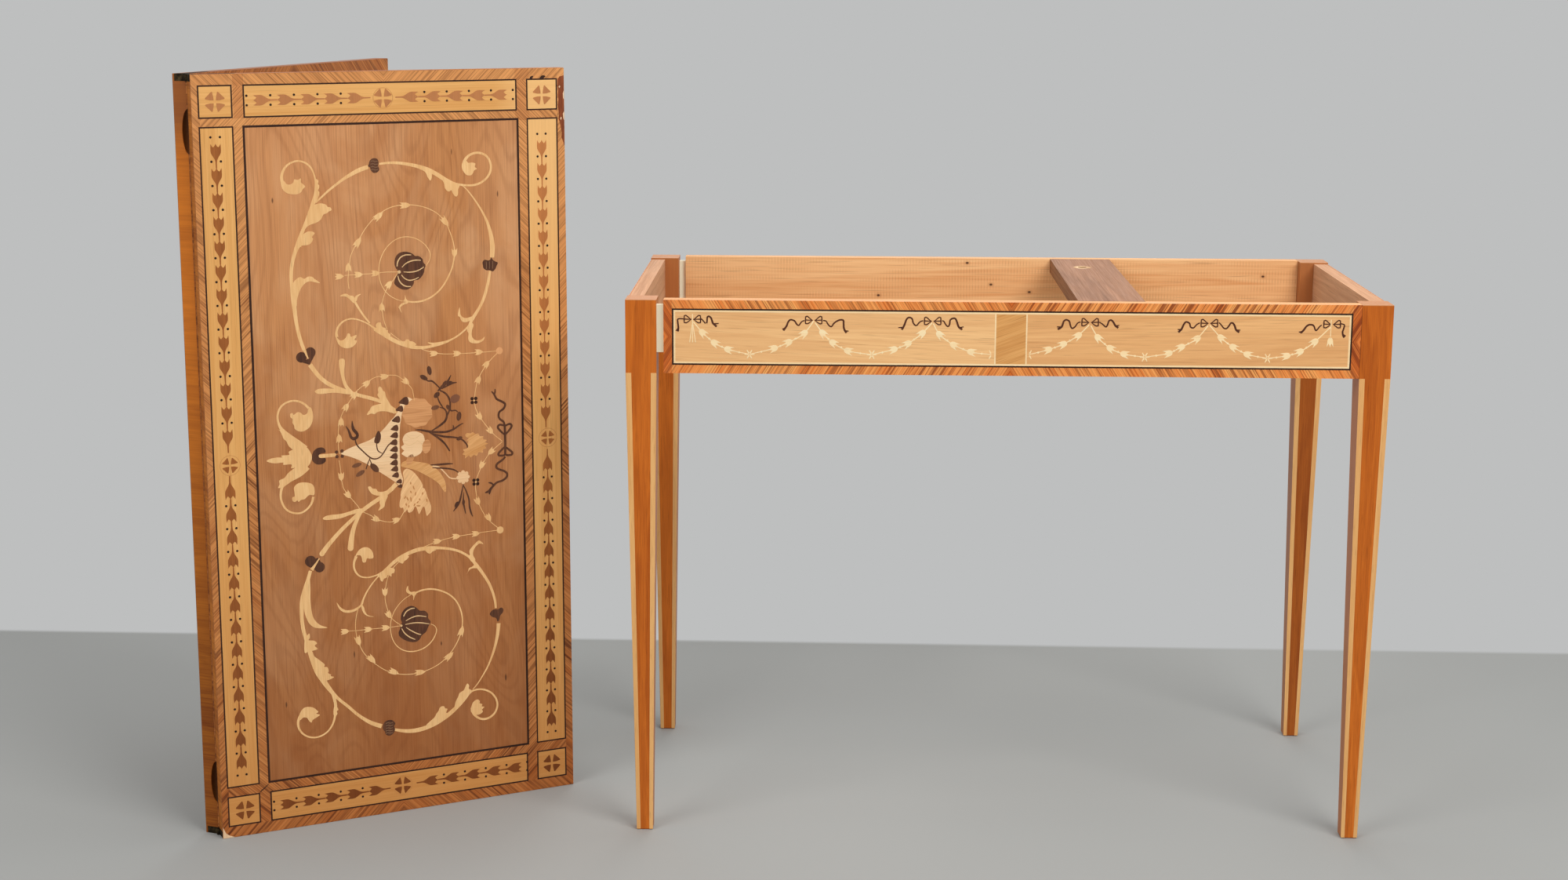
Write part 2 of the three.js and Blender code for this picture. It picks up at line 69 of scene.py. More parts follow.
class Wire:
    """The output of a shader node. Arithmetic on wires adds Math nodes, and node() adds any other."""

    def __init__(self, tree, socket=None):
        self.tree, self.socket = tree, socket

    def node(self, kind, settings=None, sockets=None, output=0):
        made = self.tree.nodes.new("ShaderNode" + kind)
        for name, value in (settings or {}).items():
            setattr(made, name, value)
        for name, value in (sockets or {}).items():
            if isinstance(value, Wire):
                self.tree.links.new(value.socket, made.inputs[name])
            else:
                made.inputs[name].default_value = value
        return Wire(self.tree, made.outputs[output])

    def math(self, operation, *others):
        return self.node("Math", {"operation": operation}, dict(enumerate((self, *others))))

    def __add__(self, other):
        return self.math("ADD", other)

    def __sub__(self, other):
        return self.math("SUBTRACT", other)

    def __rsub__(self, other):
        return self * -1 + other

    def __mul__(self, other):
        return self.math("MULTIPLY", other)

    def __truediv__(self, other):
        return self.math("DIVIDE", other)

    def __gt__(self, other):
        return self.math("GREATER_THAN", other)

    def __lt__(self, other):
        return self.math("LESS_THAN", other)

    def __abs__(self):
        return self.math("ABSOLUTE")

    __radd__ = __add__
    __rmul__ = __mul__

    def scaled(self, *factors):
        return self.node("VectorMath", {"operation": "MULTIPLY"}, {0: self, 1: factors})

    def noise(self, detail=2, roughness=0.5, distortion=0):
        return self.node("TexNoise", {}, {"Vector": self, "Scale": 1, "Detail": detail,
                                          "Roughness": roughness, "Distortion": distortion})

    def span(self, low, high, start=0, end=1):
        """Runs evenly from start to end while the wire runs from low to high, and stays there."""
        return self.node("MapRange", {"clamp": True}, {0: self, 1: low, 2: high, 3: start, 4: end})

    def mix(self, first, second):
        """The wire is the share of the second colour; 6, 7 and 2 are the node's own numbers for its colours."""
        return self.node("Mix", {"data_type": "RGBA"}, {0: self, 6: first, 7: second}, 2)

    def parts(self):
        split = self.tree.nodes.new("ShaderNodeSeparateXYZ")
        self.tree.links.new(self.socket, split.inputs[0])
        return [Wire(self.tree, split.outputs[axis]) for axis in range(3)]

    def joined(self, x, y, z):
        return self.node("CombineXYZ", {}, {0: x, 1: y, 2: z})


def new_finish(name, metallic=0, coat=0, specular=0.5):
    """An empty finish: its material, a wire to start from, and its shader's sockets."""
    material = bpy.data.materials.new(name)
    material.use_nodes = True
    shader = material.node_tree.nodes["Principled BSDF"]
    shader.inputs["Metallic"].default_value = metallic
    shader.inputs["Coat Weight"].default_value = coat
    shader.inputs["Specular IOR Level"].default_value = specular
    return material, Wire(material.node_tree), shader.inputs


def feed(wire, socket):
    wire.tree.links.new(wire.socket, socket)


def seen(wires):
    """1 for the camera's own rays, and for those that carry a reflection or a view through glass."""
    return (wires.node("LightPath", output="Is Camera Ray") + wires.node("LightPath", output="Is Glossy Ray")
            + wires.node("LightPath", output="Is Transmission Ray")).span(0, 1)


wall_tone = colour(190, 191, 191)
wall_foot, wall_slant = 0.7, -0.014     # where the floor turns pale behind the table, in metres
pale_from, pale_at = 2.2, 3.6           # and where it has done so all round, from the middle
floor_size = 60
bpy.ops.mesh.primitive_plane_add(size=floor_size)
floor = bpy.context.object
floor.name = "studio_floor"
floor_paint, wires, surface = new_finish("floor_paint", specular=0.1)
place = wires.node("TexCoord", output="Object")
patches = place.scaled(0.6, 0.6, 0.6).noise(detail=3)
feed(patches.span(0.3, 0.7).mix(colour(161, 162, 160), colour(167, 168, 166)), surface["Base Color"])
surface["Roughness"].default_value = 0.75
x, y, z = place.parts()
behind = (y - wall_foot - x * wall_slant).span(0, 0.015)
distance = place.node("VectorMath", {"operation": "LENGTH"}, {0: place}, "Value")
far = (distance.span(pale_from, pale_at) + behind).span(0, 1)
near_floor = Wire(floor_paint.node_tree, floor_paint.node_tree.nodes["Principled BSDF"].outputs["BSDF"])
far_floor = wires.node("Emission", {}, {"Color": wall_tone, "Strength": 1})
feed(wires.node("MixShader", {}, {0: far * seen(wires), 1: near_floor, 2: far_floor}),
     floor_paint.node_tree.nodes["Material Output"].inputs["Surface"])
floor.data.materials.append(floor_paint)

sky = bpy.data.worlds.new("pale_room")
bpy.context.scene.world = sky
sky.use_nodes = True
wires = Wire(sky.node_tree)
sky_light = wires.node("Background", {}, {"Color": (0.96, 0.98, 1, 1), "Strength": 0.42})
sky_seen = wires.node("Background", {}, {"Color": wall_tone, "Strength": 1})
feed(wires.node("MixShader", {}, {0: seen(wires), 1: sky_light, 2: sky_seen}),
     sky.node_tree.nodes["World Output"].inputs["Surface"])

soft_lamps = [
    ("lamp_front_right", (2.0, -2.7, 3.3), (0.0, 0, 0.6), 2.4, 104),
    ("lamp_front_left", (-2.4, -2.8, 2.9), (-0.4, 0, 0.6), 2.2, 52),
    ("lamp_above", (0.2, 0.4, 3.8), (0, 0, 0.4), 2.4, 30),
    ("lamp_behind", (0.4, 3.6, 2.8), (0, 0, 0.4), 2.4, 34),
]
for name, stand, aim, size, power in soft_lamps:
    direction = Vector(aim) - Vector(stand)
    bpy.ops.object.light_add(type="AREA", location=stand, rotation=direction.to_track_quat("-Z", "Y").to_euler())
    lamp = bpy.context.object
    lamp.name = name
    lamp.data.shape = "DISK"
    lamp.data.size = size
    lamp.data.energy = power
    lamp.data.color = (1, 0.985, 0.96)

# LEGS
# Four solid tapered legs of red-brown wood, polished, each with a square block at its head
# where the rails are tenoned in. The inner sides are duller, and the tops show end grain.
upright = (0, -math.pi / 2, 0)
along_x = (0, 0, 0)
along_y = (0, 0, math.pi / 2)


def darkened(tone, share):
    return [level * share for level in tone[:3]] + [1]


def emboss(relief, distance, strength, surface):
    feed(relief.node("Bump", {}, {"Height": relief, "Distance": distance, "Strength": strength}), surface["Normal"])


def timber(name, dark, light, turn, centre=(0, 0, 0), streaks=(22, 950), figure=(1.5, 21), contrast=1.0,
           rough=0.45, coat=0.03, lay=None, tint=None):
    """Sawn wood between two tones, its fibres along the turned X: fine streaks, growth lines and open pores."""
    material, wires, surface = new_finish(name, coat=coat, specular=0.22)
    dark, light = colour(*dark), colour(*light)
    place = wires.node("TexCoord", output="Object")
    place = place.node("Mapping", {"vector_type": "TEXTURE"}, {"Vector": place, "Location": centre, "Rotation": turn})
    grain = lay(place) if lay else place
    fibres = grain.scaled(streaks[0], streaks[1], streaks[1]).noise(detail=3, roughness=0.6)
    slow = grain.scaled(figure[0], figure[1], figure[1]).noise(detail=2, distortion=0.7)
    growth = (slow * 46 + fibres * 2.2).math("SINE") * 0.5 + 0.5
    tone = slow.span(0.3, 0.7) * 0.46 + fibres.span(0.32, 0.68) * 0.34 + growth * 0.2
    tone = ((tone - 0.5) * contrast + 0.5).span(0, 1)
    pores = grain.scaled(streaks[0] * 1.6, streaks[1] * 2.1, streaks[1] * 2.1).noise(detail=1).span(0.62, 0.72)
    wood = (pores * 0.4).mix(tone.mix(dark, light), darkened(dark, 0.5))
    if tint:
        wood = tint(place, wood, grain)
    feed(wood, surface["Base Color"])
    feed(fibres.span(0.3, 0.7, rough + 0.07, rough - 0.05), surface["Roughness"])
    emboss(fibres * 0.5 - pores, 0.00008, 0.35, surface)
    return material


def dress(material, *names):
    """Gives a finish to nodes of the frame."""
    for name in names:
        nodes[name].material_slots[0].material = material


block_foot, leg_top = 0.627, 0.7213     # heights in metres


def leg_sides(inner_x, inner_y):
    """The sides that face into the frame are plainer wood, one of them only at the block; the top is end grain."""
    def tint(place, wood, grain):
        facing = place.node("NewGeometry", output="Normal").parts()
        height = place.parts()[0]
        inner = (facing[0] * inner_x > 0.9) + (facing[1] * inner_y > 0.9) * (height > block_foot)
        wood = (inner * 0.75).mix(wood, colour(176, 112, 66))
        return ((height > leg_top) * 0.85).mix(wood, colour(204, 142, 92))
    return tint


leg_tones = (162, 74, 10), (222, 121, 36)
# the rear right leg takes a darker copy of the same mahogany: painted shade
shaded_leg_tones = (136, 62, 12), (188, 102, 32)
for name, inner_x, inner_y, tones in (
        ("front_left_leg", 1, 1, leg_tones), ("rear_left_leg", 1, -1, leg_tones),
        ("front_right_leg", -1, 1, leg_tones), ("rear_right_leg", -1, -1, shaded_leg_tones)):
    dress(timber("mahogany_" + name, *tones, upright, streaks=(16, 700), figure=(2.2, 26),
                 centre=(0.13 * inner_x, 0.07 * inner_y, 0), tint=leg_sides(inner_x, inner_y)), name)

# RAILS
# Pine rails left in the white inside, where the plane and a few knots show, with their
# tenons in the legs. The pivot board is older, greyer wood, housed in both long rails.
def tool_marks(lit_tenon_from=None, pins=()):
    """Ripples left by the plane, in rows, with knots; a tenon that has come out of its mortise is clean, pale wood,
    painted near white as painted light where it lies in shade.
    """
    def tint(place, wood, grain):
        ripple = (grain.parts()[0] * 1450 + grain.scaled(9, 9, 9).noise() * 9).math("SINE")
        rows = (grain.parts()[2] * 520).math("SINE").span(-1, 1, 0.35, 1)
        ripple = ripple.span(-0.2, 1) * rows * grain.scaled(14, 14, 30).noise(detail=2).span(0.38, 0.62)
        wood = (ripple * 0.3).mix(wood, colour(176, 106, 58))
        knots = grain.node("TexVoronoi", {}, {"Vector": grain.scaled(2.3, 2.3, 9), "Scale": 1})
        wood = knots.span(0.02, 0.07, 0.8, 0).mix(wood, colour(96, 48, 24))
        for x, z in pins:
            along, up = (place.parts()[0] - x) * 1000, (place.parts()[2] - z) * 1000
            ring = (along / pin_wide).math("POWER", 2) + (up / pin_high).math("POWER", 2)
            wood = ring.span(0.4, 8, 0.3, 0).mix(wood, colour(170, 96, 48))
            wood = ring.span(0.4, 1.6, 0.9, 0).mix(wood, colour(52, 22, 12))
        if lit_tenon_from is not None:
            # painted light: the clean tenon is painted near white to read bright in the shade between leg and rail
            wood = (place.parts()[0] < lit_tenon_from).mix(wood, colour(255, 252, 222))
        return wood
    return tint


pin_wide, pin_high = 2.2, 1.6     # mm
pin_knots = ((0.2538, 0.7156), (0.1242, 0.6669), (0.2891, 0.6839), (0.6862, 0.6987), (0.3456, 0.6732))
shoulder = -0.1597
bare_pine = dict(streaks=(9, 420), figure=(0.9, 30), rough=0.62, coat=0)
for name, pins in (("front_rail", ()), ("rear_rail", pin_knots)):
    dress(timber("pine_" + name, (222, 152, 94), (252, 202, 146), along_x,
                 tint=tool_marks(shoulder, pins), **bare_pine), name)
for name in ("right_end_rail", "left_end_rail"):
    dress(timber("pine_" + name, (180, 128, 92), (230, 176, 134), along_y, tint=tool_marks(),
                 **bare_pine), name)
dress(timber("old_board", (122, 78, 48), (178, 124, 86), along_y, streaks=(10, 520), rough=0.6, coat=0,
             tint=tool_marks()), "pivot_board")

# VENEERS OF THE FRAME
# Crossbanding of striped rosy wood is laid on the rails at a slant that turns over at the
# middle of each side, round long panels of pale wood and a darker tablet at the front.
def slanted(rising, steep=45, outer=None):
    """Turns the grain to an angle in degrees, mirrored about both middles and over again past outer."""
    c, s = math.cos(math.radians(steep)), math.sin(math.radians(steep))

    def lay(place):
        x, depth, z = place.parts()
        x, z = abs(x), abs(z)
        if outer:
            x = x * (1 - 2 * ((x > outer[0]) + (z > outer[1])).span(0, 1))
        across = z * c - x * s if rising else z * c + x * s
        along = x * c + z * s if rising else x * c - z * s
        return place.joined(along, depth, across)
    return lay


def stripes(dark, heavy=0.8, ends=None):
    """Broken dark stripes along the grain, in broad patches, and darker lengths past a distance from the middle."""
    def tint(place, wood, grain):
        bars = grain.scaled(7, 3, 260).noise(detail=3, roughness=0.6)
        hair = grain.scaled(9, 3, 700).noise(detail=1)
        patches = place.scaled(6, 6, 6).noise(detail=2).span(0.4, 0.62)
        bars = bars.span(0.5, 0.58) * heavy * (patches * 0.65 + 0.35)
        wood = (hair.span(0.5, 0.62) * 0.42).mix(wood, dark)
        if ends:
            past = abs(place.parts()[0]) > ends
            wood = (past * 0.45).mix(wood, colour(206, 88, 8))
            wood = (past * grain.scaled(9, 3, 420).noise(detail=2).span(0.48, 0.55) * 0.45).mix(wood, dark)
        return bars.mix(wood, dark)
    return tint


rail_centre_x, frame_centre_y = 0.288247, 0.023371
rosy, rosy_stripe = ((224, 110, 36), (255, 182, 104)), colour(120, 42, 8)
banding = dict(streaks=(9, 430), figure=(2, 60), contrast=1.15, rough=0.42)
dress(timber("banding_front", *rosy, along_x, centre=(rail_centre_x, 0, 0.67425), lay=slanted(True, 58),
             tint=stripes(rosy_stripe, ends=0.4368), **banding), "front_crossbanding", "rear_crossbanding")
for name, x in (("right_end", 0.77), ("left_end", -0.2)):
    dress(timber("banding_" + name, *rosy, along_y, centre=(x, frame_centre_y, 0.67325), lay=slanted(True, 58),
                 tint=stripes(rosy_stripe), **banding), name + "_crossbanding")
pale = dict(streaks=(12, 520), figure=(1.6, 30), contrast=0.9, rough=0.45)
for number, (name, dark, light) in enumerate((
        ("front_left_panel", (222, 162, 104), (252, 204, 144)),
        ("front_right_panel", (212, 150, 93), (243, 188, 127)),
        ("rear_panel", (216, 155, 98), (246, 195, 134)))):
    dress(timber("pale_" + name, dark, light, (0, 0.04 - 0.05 * number, 0), centre=(0.3 * number, 0, 0), **pale),
          name)
for number, name in enumerate(("right_end_panel", "left_end_panel")):
    dress(timber("pale_" + name, (220, 160, 102), (250, 200, 140), along_y,
                 centre=(0, 0.7 * number, 0), **pale), name)
dress(timber("tablet_wood", (200, 134, 68), (236, 178, 110), (0, -0.35, 0), streaks=(12, 520),
             figure=(3, 90), rough=0.4), "front_centre_tablet")

# STRINGING OF THE FRAME
# Thin lines of dark and of pale wood are let in round each panel and along the leg
# arrises. Each is a strip of veneer, sawn to shape, glued flush and scraped.
mm = 0.001
inlay_below, inlay_above = 0.18 * mm, 0.1 * mm
stacked = 0.12 * mm


def border(low, high, width):
    """A rectangular line of one width inside two corners: its outer and its inner edge."""
    (x0, y0), (x1, y1) = low, high
    return [[(a, c), (b, c), (b, d), (a, d)]
            for a, b, c, d in ((x0, x1, y0, y1), (x0 + width, x1 - width, y0 + width, y1 - width))]


def inlay(name, shapes, place, finish, body, lift=0.0):
    """Pieces of veneer sawn to outlines in mm and let into a face; place turns across, up and out to that face."""
    bpy.ops.object.select_all(action="DESELECT")
    cut = []
    for number, shape in enumerate(shapes):
        loops = shape if isinstance(shape[0][0], (list, tuple)) else [shape]
        bpy.ops.curve.primitive_bezier_curve_add()
        line = bpy.context.object
        line.data.dimensions = "2D"
        line.data.fill_mode = "BOTH"
        line.data.extrude = (inlay_below + inlay_above) / 2
        line.data.splines.clear()
        for loop in loops:
            spline = line.data.splines.new("POLY")
            spline.points.add(len(loop) - 1)
            for point, (x, y) in zip(spline.points, loop):
                point.co = (x * mm, y * mm, 0, 1)
            spline.use_cyclic_u = True
        line.location.z = (inlay_above - inlay_below) / 2 + lift + stacked * number / len(shapes)
        cut.append(line)
    for line in cut:
        line.select_set(True)
    bpy.ops.object.convert(target="MESH")
    bpy.ops.object.join()
    piece = bpy.context.object
    bpy.ops.object.transform_apply(location=True, rotation=True, scale=True)
    bpy.ops.object.mode_set(mode="EDIT")
    bpy.ops.mesh.select_all(action="SELECT")
    bpy.ops.mesh.remove_doubles(threshold=0.001 * mm)
    bpy.ops.mesh.normals_make_consistent(inside=False)
    bpy.ops.object.mode_set(mode="OBJECT")
    piece.matrix_world = place
    bpy.ops.object.transform_apply(location=True, rotation=True, scale=True)
    piece.name = name
    piece.data.materials.clear()
    piece.data.materials.append(finish)
    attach(piece, body)


def face(origin, across, up):
    """The place of a flat face: its origin, and the directions that run across and up it."""
    across, up = Vector(across).normalized(), Vector(up).normalized()
    out = across.cross(up)
    return Matrix.Translation(origin) @ Matrix((across, up, out)).transposed().to_4x4()


front_face = face((rail_centre_x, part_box("front_crossbanding")[0].y, 0), (1, 0, 0), (0, 0, 1))
rear_face = face((rail_centre_x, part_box("rear_crossbanding")[1].y, 0), (-1, 0, 0), (0, 0, 1))
right_face = face((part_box("right_end_crossbanding")[1].x, frame_centre_y, 0), (0, 1, 0), (0, 0, 1))
left_face = face((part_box("left_end_crossbanding")[0].x, frame_centre_y, 0), (0, -1, 0), (0, 0, 1))
dark_line = timber("dark_stringing", (30, 14, 8), (54, 27, 14), along_x, streaks=(40, 900))
pale_line = timber("pale_stringing", (246, 206, 150), (255, 228, 182), along_x, streaks=(40, 900))
leg_line = timber("leg_stringing", (218, 156, 92), (240, 188, 122), upright, streaks=(20, 700))
window_low, end_window_high, window_high = 637.5, 709, 711
rail_window, end_window = 436.7, 184.7     # from the middle
dark_width, pale_width = 2.1, 2.3
for side, place, body, half, top in (("front", front_face, "frame", rail_window, window_high),
                                     ("rear", rear_face, "frame", rail_window, window_high),
                                     ("right_end", right_face, "frame", end_window, end_window_high),
                                     ("left_end", left_face, "left_end", end_window, end_window_high)):
    outer = border((-half, window_low), (half, top), dark_width)
    inner = border((-half + dark_width, window_low + dark_width), (half - dark_width, top - dark_width), pale_width)
    inlay(side + "_dark_line", [outer], place, dark_line, body)
    inlay(side + "_pale_line", [inner], place, pale_line, body)
tablet_half, tablet_line, short_of_window = 20, 1.9, 3
foot, head = window_low + short_of_window, window_high - short_of_window
corners = ((-1, foot), (1, foot), (1, head), (-1, head))
tablet_lines = [[(s * tablet_half + t * tablet_line / 2, end) for t, end in corners] for s in (-1, 1)]
inlay("tablet_lines", tablet_lines, front_face, pale_line, "frame", lift=0.02 * mm)

leg_half, foot_half, block_bottom, foot_clear = 20, 10.75, 626.5, 1.2
line_at_head, line_at_foot = 7.3, 5.0
slope = math.atan2(leg_half - foot_half, block_bottom)
slant_height = math.hypot(leg_half - foot_half, block_bottom)
leg_strips = [[(s * foot_half, foot_clear), (s * (foot_half - line_at_foot), foot_clear),
               (s * (leg_half - line_at_head), slant_height), (s * leg_half, slant_height)] for s in (-1, 1)]
for name in ("front_left_leg", "rear_left_leg", "front_right_leg", "rear_right_leg"):
    low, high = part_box(name)
    centre = (low + high) / 2
    outer, body = (-1, "left_end") if "left" in name else (1, "frame")
    for number, (across, out) in enumerate((((1, 0, 0), (0, -1, 0)), ((-1, 0, 0), (0, 1, 0)),
                                            ((0, outer, 0), (outer, 0, 0)))):
        out = Vector(out)
        foot = Vector((centre.x, centre.y, 0)) + out * foot_half * mm
        up = Vector((0, 0, 1)) * math.cos(slope) + out * math.sin(slope)
        inlay(f"{name}_pale_strips_{number + 1}", leg_strips, face(foot, across, up), leg_line, body)

# BOWS AND SWAGS
# Ribbon bows in dark wood and swags of husks in pale wood, fretsawn and let into the long
# front panels; two half swags run into the tablet, and a drop hangs under each end bow.
def through(knots, closed=False, steps=4):
    """Points on a smooth line through the knots; every number of a knot, its width too, runs smoothly."""
    count = len(knots)
    line = []
    for i in range(count if closed else count - 1):
        four = [knots[(i + k) % count] if closed else knots[min(max(i + k, 0), count - 1)] for k in (-1, 0, 1, 2)]
        for step in range(steps):
            t = step / steps
            line.append([0.5 * (2 * b + (c - a) * t + (2 * a - 5 * b + 4 * c - d) * t ** 2
                                + (3 * b - a - 3 * c + d) * t ** 3) for a, b, c, d in zip(*four)])
    return line if closed else line + [list(knots[-1])]


def stroke(knots):
    """The outline of a line of changing width, from knots of (across, up, width) in mm."""
    line = through(knots)
    left, right = [], []
    for i, (x, y, width) in enumerate(line):
        (x0, y0, _), (x1, y1, _) = line[max(i - 1, 0)], line[min(i + 1, len(line) - 1)]
        length = math.hypot(x1 - x0, y1 - y0) or 1
        dx, dy = (x1 - x0) / length * width / 2, (y1 - y0) / length * width / 2
        left.append((x - dy, y + dx))
        right.append((x + dy, y - dx))
    return left + right[::-1]


def disc_shape(x, y, radius, sides):
    return [(x + radius * math.cos(math.tau * k / sides), y + radius * math.sin(math.tau * k / sides))
            for k in range(sides)]


def turned_about(shape, x, y, angle, size=1.0, across=1.0):
    """A shape drawn about the origin, sized, turned and moved to its place."""
    c, s = math.cos(angle), math.sin(angle)
    return [(x + (a * across * c - b * s) * size, y + (a * across * s + b * c) * size) for a, b in shape]


dark_inlay = timber("dark_inlay", (66, 32, 20), (96, 52, 32), along_x, streaks=(30, 700))
cream_inlay = timber("cream_inlay", (252, 214, 158), (255, 236, 192), along_x, streaks=(30, 700))


def mirrored(half):
    """An outline from its right half; a point on the middle line comes once."""
    return half + [(-x, y) for x, y in half[::-1] if x]


husk_petals = mirrored([(0, -5.6), (1, -4.2), (2.4, -3), (3.4, -1), (3.7, 1.6), (3.9, 5.2), (2.6, 3.6), (1.6, 3),
                        (0.7, 4), (0, 5.4)])
round_husk = mirrored([(0, -6.4), (1.8, -6), (3.3, -4.4), (4.1, -2), (4.3, 1.2), (4.8, 6.2), (3, 3), (1.9, 1.6),
                       (1.1, 3.4), (0, 6.4)])


def husk(x, y, towards, size=1.0, slim=1.0, petals=husk_petals):
    """A small husk with its mouth in a direction, in degrees from straight across."""
    return turned_about(petals, x, y, math.radians(towards - 90), size, slim)


def widening(points, first, last):
    """A line through points, with a width that grows from first to last along it."""
    steps = len(points) - 1
    return stroke([(x, y, first + (last - first) * k / steps) for k, (x, y) in enumerate(points)])


bow_height, bow_places = 697, (-410.2, -253.9, -100.9, 101, 253.5, 410.1)
bow_loop = [
    [(1.5, 0, .8), (4, 1.6, 1.3), (8, 5, 1.6), (10, 4.6, 1.5)],
    [(1.5, 0, .8), (4, -2, 1.3), (7.5, -4.4, 1.6), (10.2, -4.3, 1.5)],
    [(10.3, 5.2, 1.3), (10.6, 0, 1.7), (10.4, -5, 1.3)],
    [(1, 0, 1), (6, .1, 1.4), (11.4, .4, 1.5)],
]
bow_tails = [
    [(-421, 697.4), (-428.6, 697.4), (-429, 692.4), (-428.3, 686), (-429, 681)],
    [(-400, 697.9), (-398.1, 697.3), (-395.6, 694.4), (-393.1, 691.6), (-391.9, 691.3), (-391.3, 694.8),
     (-390.9, 699.8), (-389.4, 701), (-387.5, 700.4), (-385.9, 698.5), (-384.7, 694.8), (-383.8, 692.3),
     (-381.3, 689.8), (-378.8, 687.8)],
    [(-265.7, 696.7), (-269.7, 694.6), (-272.9, 690.3), (-275.7, 691.7), (-278.6, 696), (-283.6, 697.4),
     (-286.7, 694.6), (-288.6, 689.6), (-290.7, 686.3), (-292.9, 683.4)],
    [(-241.9, 696.8), (-238, 696), (-235, 691.4), (-231.2, 688.8), (-228.1, 692.9), (-224.2, 696), (-219.6, 697.8),
     (-215.8, 697.2), (-215.3, 692.9), (-215, 687.5), (-213.5, 683.7), (-211.5, 681)],
    [(-113, 697.5), (-117.3, 696), (-121.9, 691.1), (-125.8, 694.5), (-127.3, 699.8), (-131.2, 701.7),
     (-134.5, 699.1), (-136.5, 693.7), (-138.8, 688.3), (-140.7, 685.7)],
    [(-88.8, 697.5), (-86.5, 696.8), (-84.2, 692.9), (-81.2, 690.3), (-79.2, 692.9), (-78.5, 698.3),
     (-75.8, 700.6), (-71.9, 700.6), (-69.6, 696), (-67.3, 689.8), (-62.7, 686.5)],
    [(88.8, 697.5), (85, 696), (81.9, 691.4), (78.1, 689.1), (75.8, 692.9), (74.2, 698.3), (70.4, 700.2),
     (67.3, 698.3), (65.8, 693.7), (63.9, 690.2), (59.6, 687.8)],
    [(112.7, 697.5), (116.5, 695.2), (121.2, 691.4), (123.5, 694.5), (125, 699.1), (128.1, 700.2), (131.2, 696.8),
     (133.5, 692.9), (137.3, 690.3)],
    [(241.2, 697.5), (237.3, 695.2), (233.5, 691.1), (229.6, 692.2), (228.1, 696.8), (223.5, 698.6),
     (220.4, 694.5), (218.1, 689.1), (214.2, 685.2)],
    [(265.7, 698.1), (268.6, 695.3), (272.1, 691), (275.7, 690.6), (278.6, 693.9), (280.7, 697.4), (283.6, 697.4),
     (286, 693.9), (287.9, 688.9), (292.1, 685.7)],
    [(396.9, 696), (394.4, 694.1), (392.2, 691), (390, 688.8), (388.4, 691), (387.5, 693.5), (386.3, 695.4),
     (383.8, 696.3), (380.6, 696.1), (377.5, 694.1), (375, 690.4), (372.5, 687.3), (370, 685.7)],
    [(421.4, 697.9), (425.7, 696.4), (425.3, 692.4), (424, 687.4), (424.6, 683.1), (426.4, 680)],
]
tail_forks = [
    [(-428.5, 685), (-431.5, 682)], [(-381.9, 691.3), (-376.3, 691.9)], [(-290.7, 686.3), (-294.3, 685.3)],
    [(-213.5, 683.7), (-208.8, 683.2)], [(-139, 688.6), (-145, 688.3)], [(-66.5, 688.8), (-61, 690)],
    [(64.4, 690.6), (58.6, 691)], [(133.8, 692.4), (138.4, 693.6)], [(218, 688.6), (213.2, 688.8)],
    [(288.2, 688.4), (293.4, 688.6)], [(372, 687), (368.1, 686.6)], [(424.4, 684), (428.2, 682)],
]
bows = [widening(points, 1.6, 2.7) for points in bow_tails] + [widening(points, 2.1, 1.2) for points in tail_forks]
for x in bow_places:
    bows += [stroke([(x + flip * a, bow_height + b, width) for a, b, width in part])
             for flip in (-1, 1) for part in bow_loop]

# each half swag, from its bow down over three husks to its lowest point
half_swags = [
    [(-409, 694), (-396.4, 679), (-380.8, 665.9), (-363.2, 657.8), (-336.5, 652)],
    [(-254, 696), (-266.9, 679.1), (-287.3, 667.5), (-306, 659.7), (-336.5, 652)],
    [(-252, 694), (-241.4, 679.5), (-228, 667.3), (-208.4, 657.3), (-178.7, 652.8)],
    [(-101.5, 695), (-115, 680.4), (-133.4, 667), (-151.6, 659.6), (-178.7, 652.8)],
    [(-100, 694), (-91, 679), (-72.4, 665.8), (-49.8, 657.2), (-24.5, 654.2)],
    [(100, 694), (85.2, 679.2), (66.2, 668), (47.2, 660.8), (23.5, 654.6)],
    [(102, 693), (112.4, 676.5), (128.8, 663), (147, 656), (172.3, 652.5)],
    [(252, 694), (237.5, 676.4), (217.6, 665.4), (201.6, 657.4), (172.3, 652.5)],
    [(254, 694.5), (269.9, 677.6), (286, 665.8), (304.8, 656.8), (329.6, 652.3)],
    [(408, 693), (388, 673.3), (369.6, 660.7), (352.5, 655.3), (329.6, 652.3)],
]
swags = []
for points in half_swags:
    swags.append(widening(points, 1.5, 1.1))
    for before, (x, y), after in zip(points, points[1:], points[2:]):
        towards = math.degrees(math.atan2(after[1] - before[1], after[0] - before[0]))
        swags.append(husk(x, y, towards, petals=round_husk))
    for (x, y), (ahead_x, ahead_y) in zip(points[1:-1], points[2:]):
        swags.append(disc_shape((x + ahead_x) / 2, (y + ahead_y) / 2 - 0.4, 1.4, 10))
for x, y in {points[-1] for points in half_swags}:
    angles = range(0, 360, 60) if abs(x) > 30 else (-60, 60) if x > 0 else (120, 240)
    for angle in map(math.radians, angles):
        swags.append(widening([(x + r * math.cos(angle), y + r * math.sin(angle)) for r in (1.6, 6.4)], 2, 1.1))
left_drop, right_drop = -410, 408.7
swags.append(widening([(right_drop, 703), (right_drop, 681)], 1, 1.3))
swags.append(husk(right_drop, 673.6, -90, 1, 0.88, round_husk))
for spread in (-3.8, 0, 3.8):
    swags.append(widening([(left_drop, 704), (left_drop, 694), (left_drop + spread / 3, 685),
                           (left_drop + spread, 667)], 1, 1.2))
inlay("front_bows", bows, front_face, dark_inlay, "frame")
inlay("front_swags", swags, front_face, cream_inlay, "frame", lift=0.02 * mm)

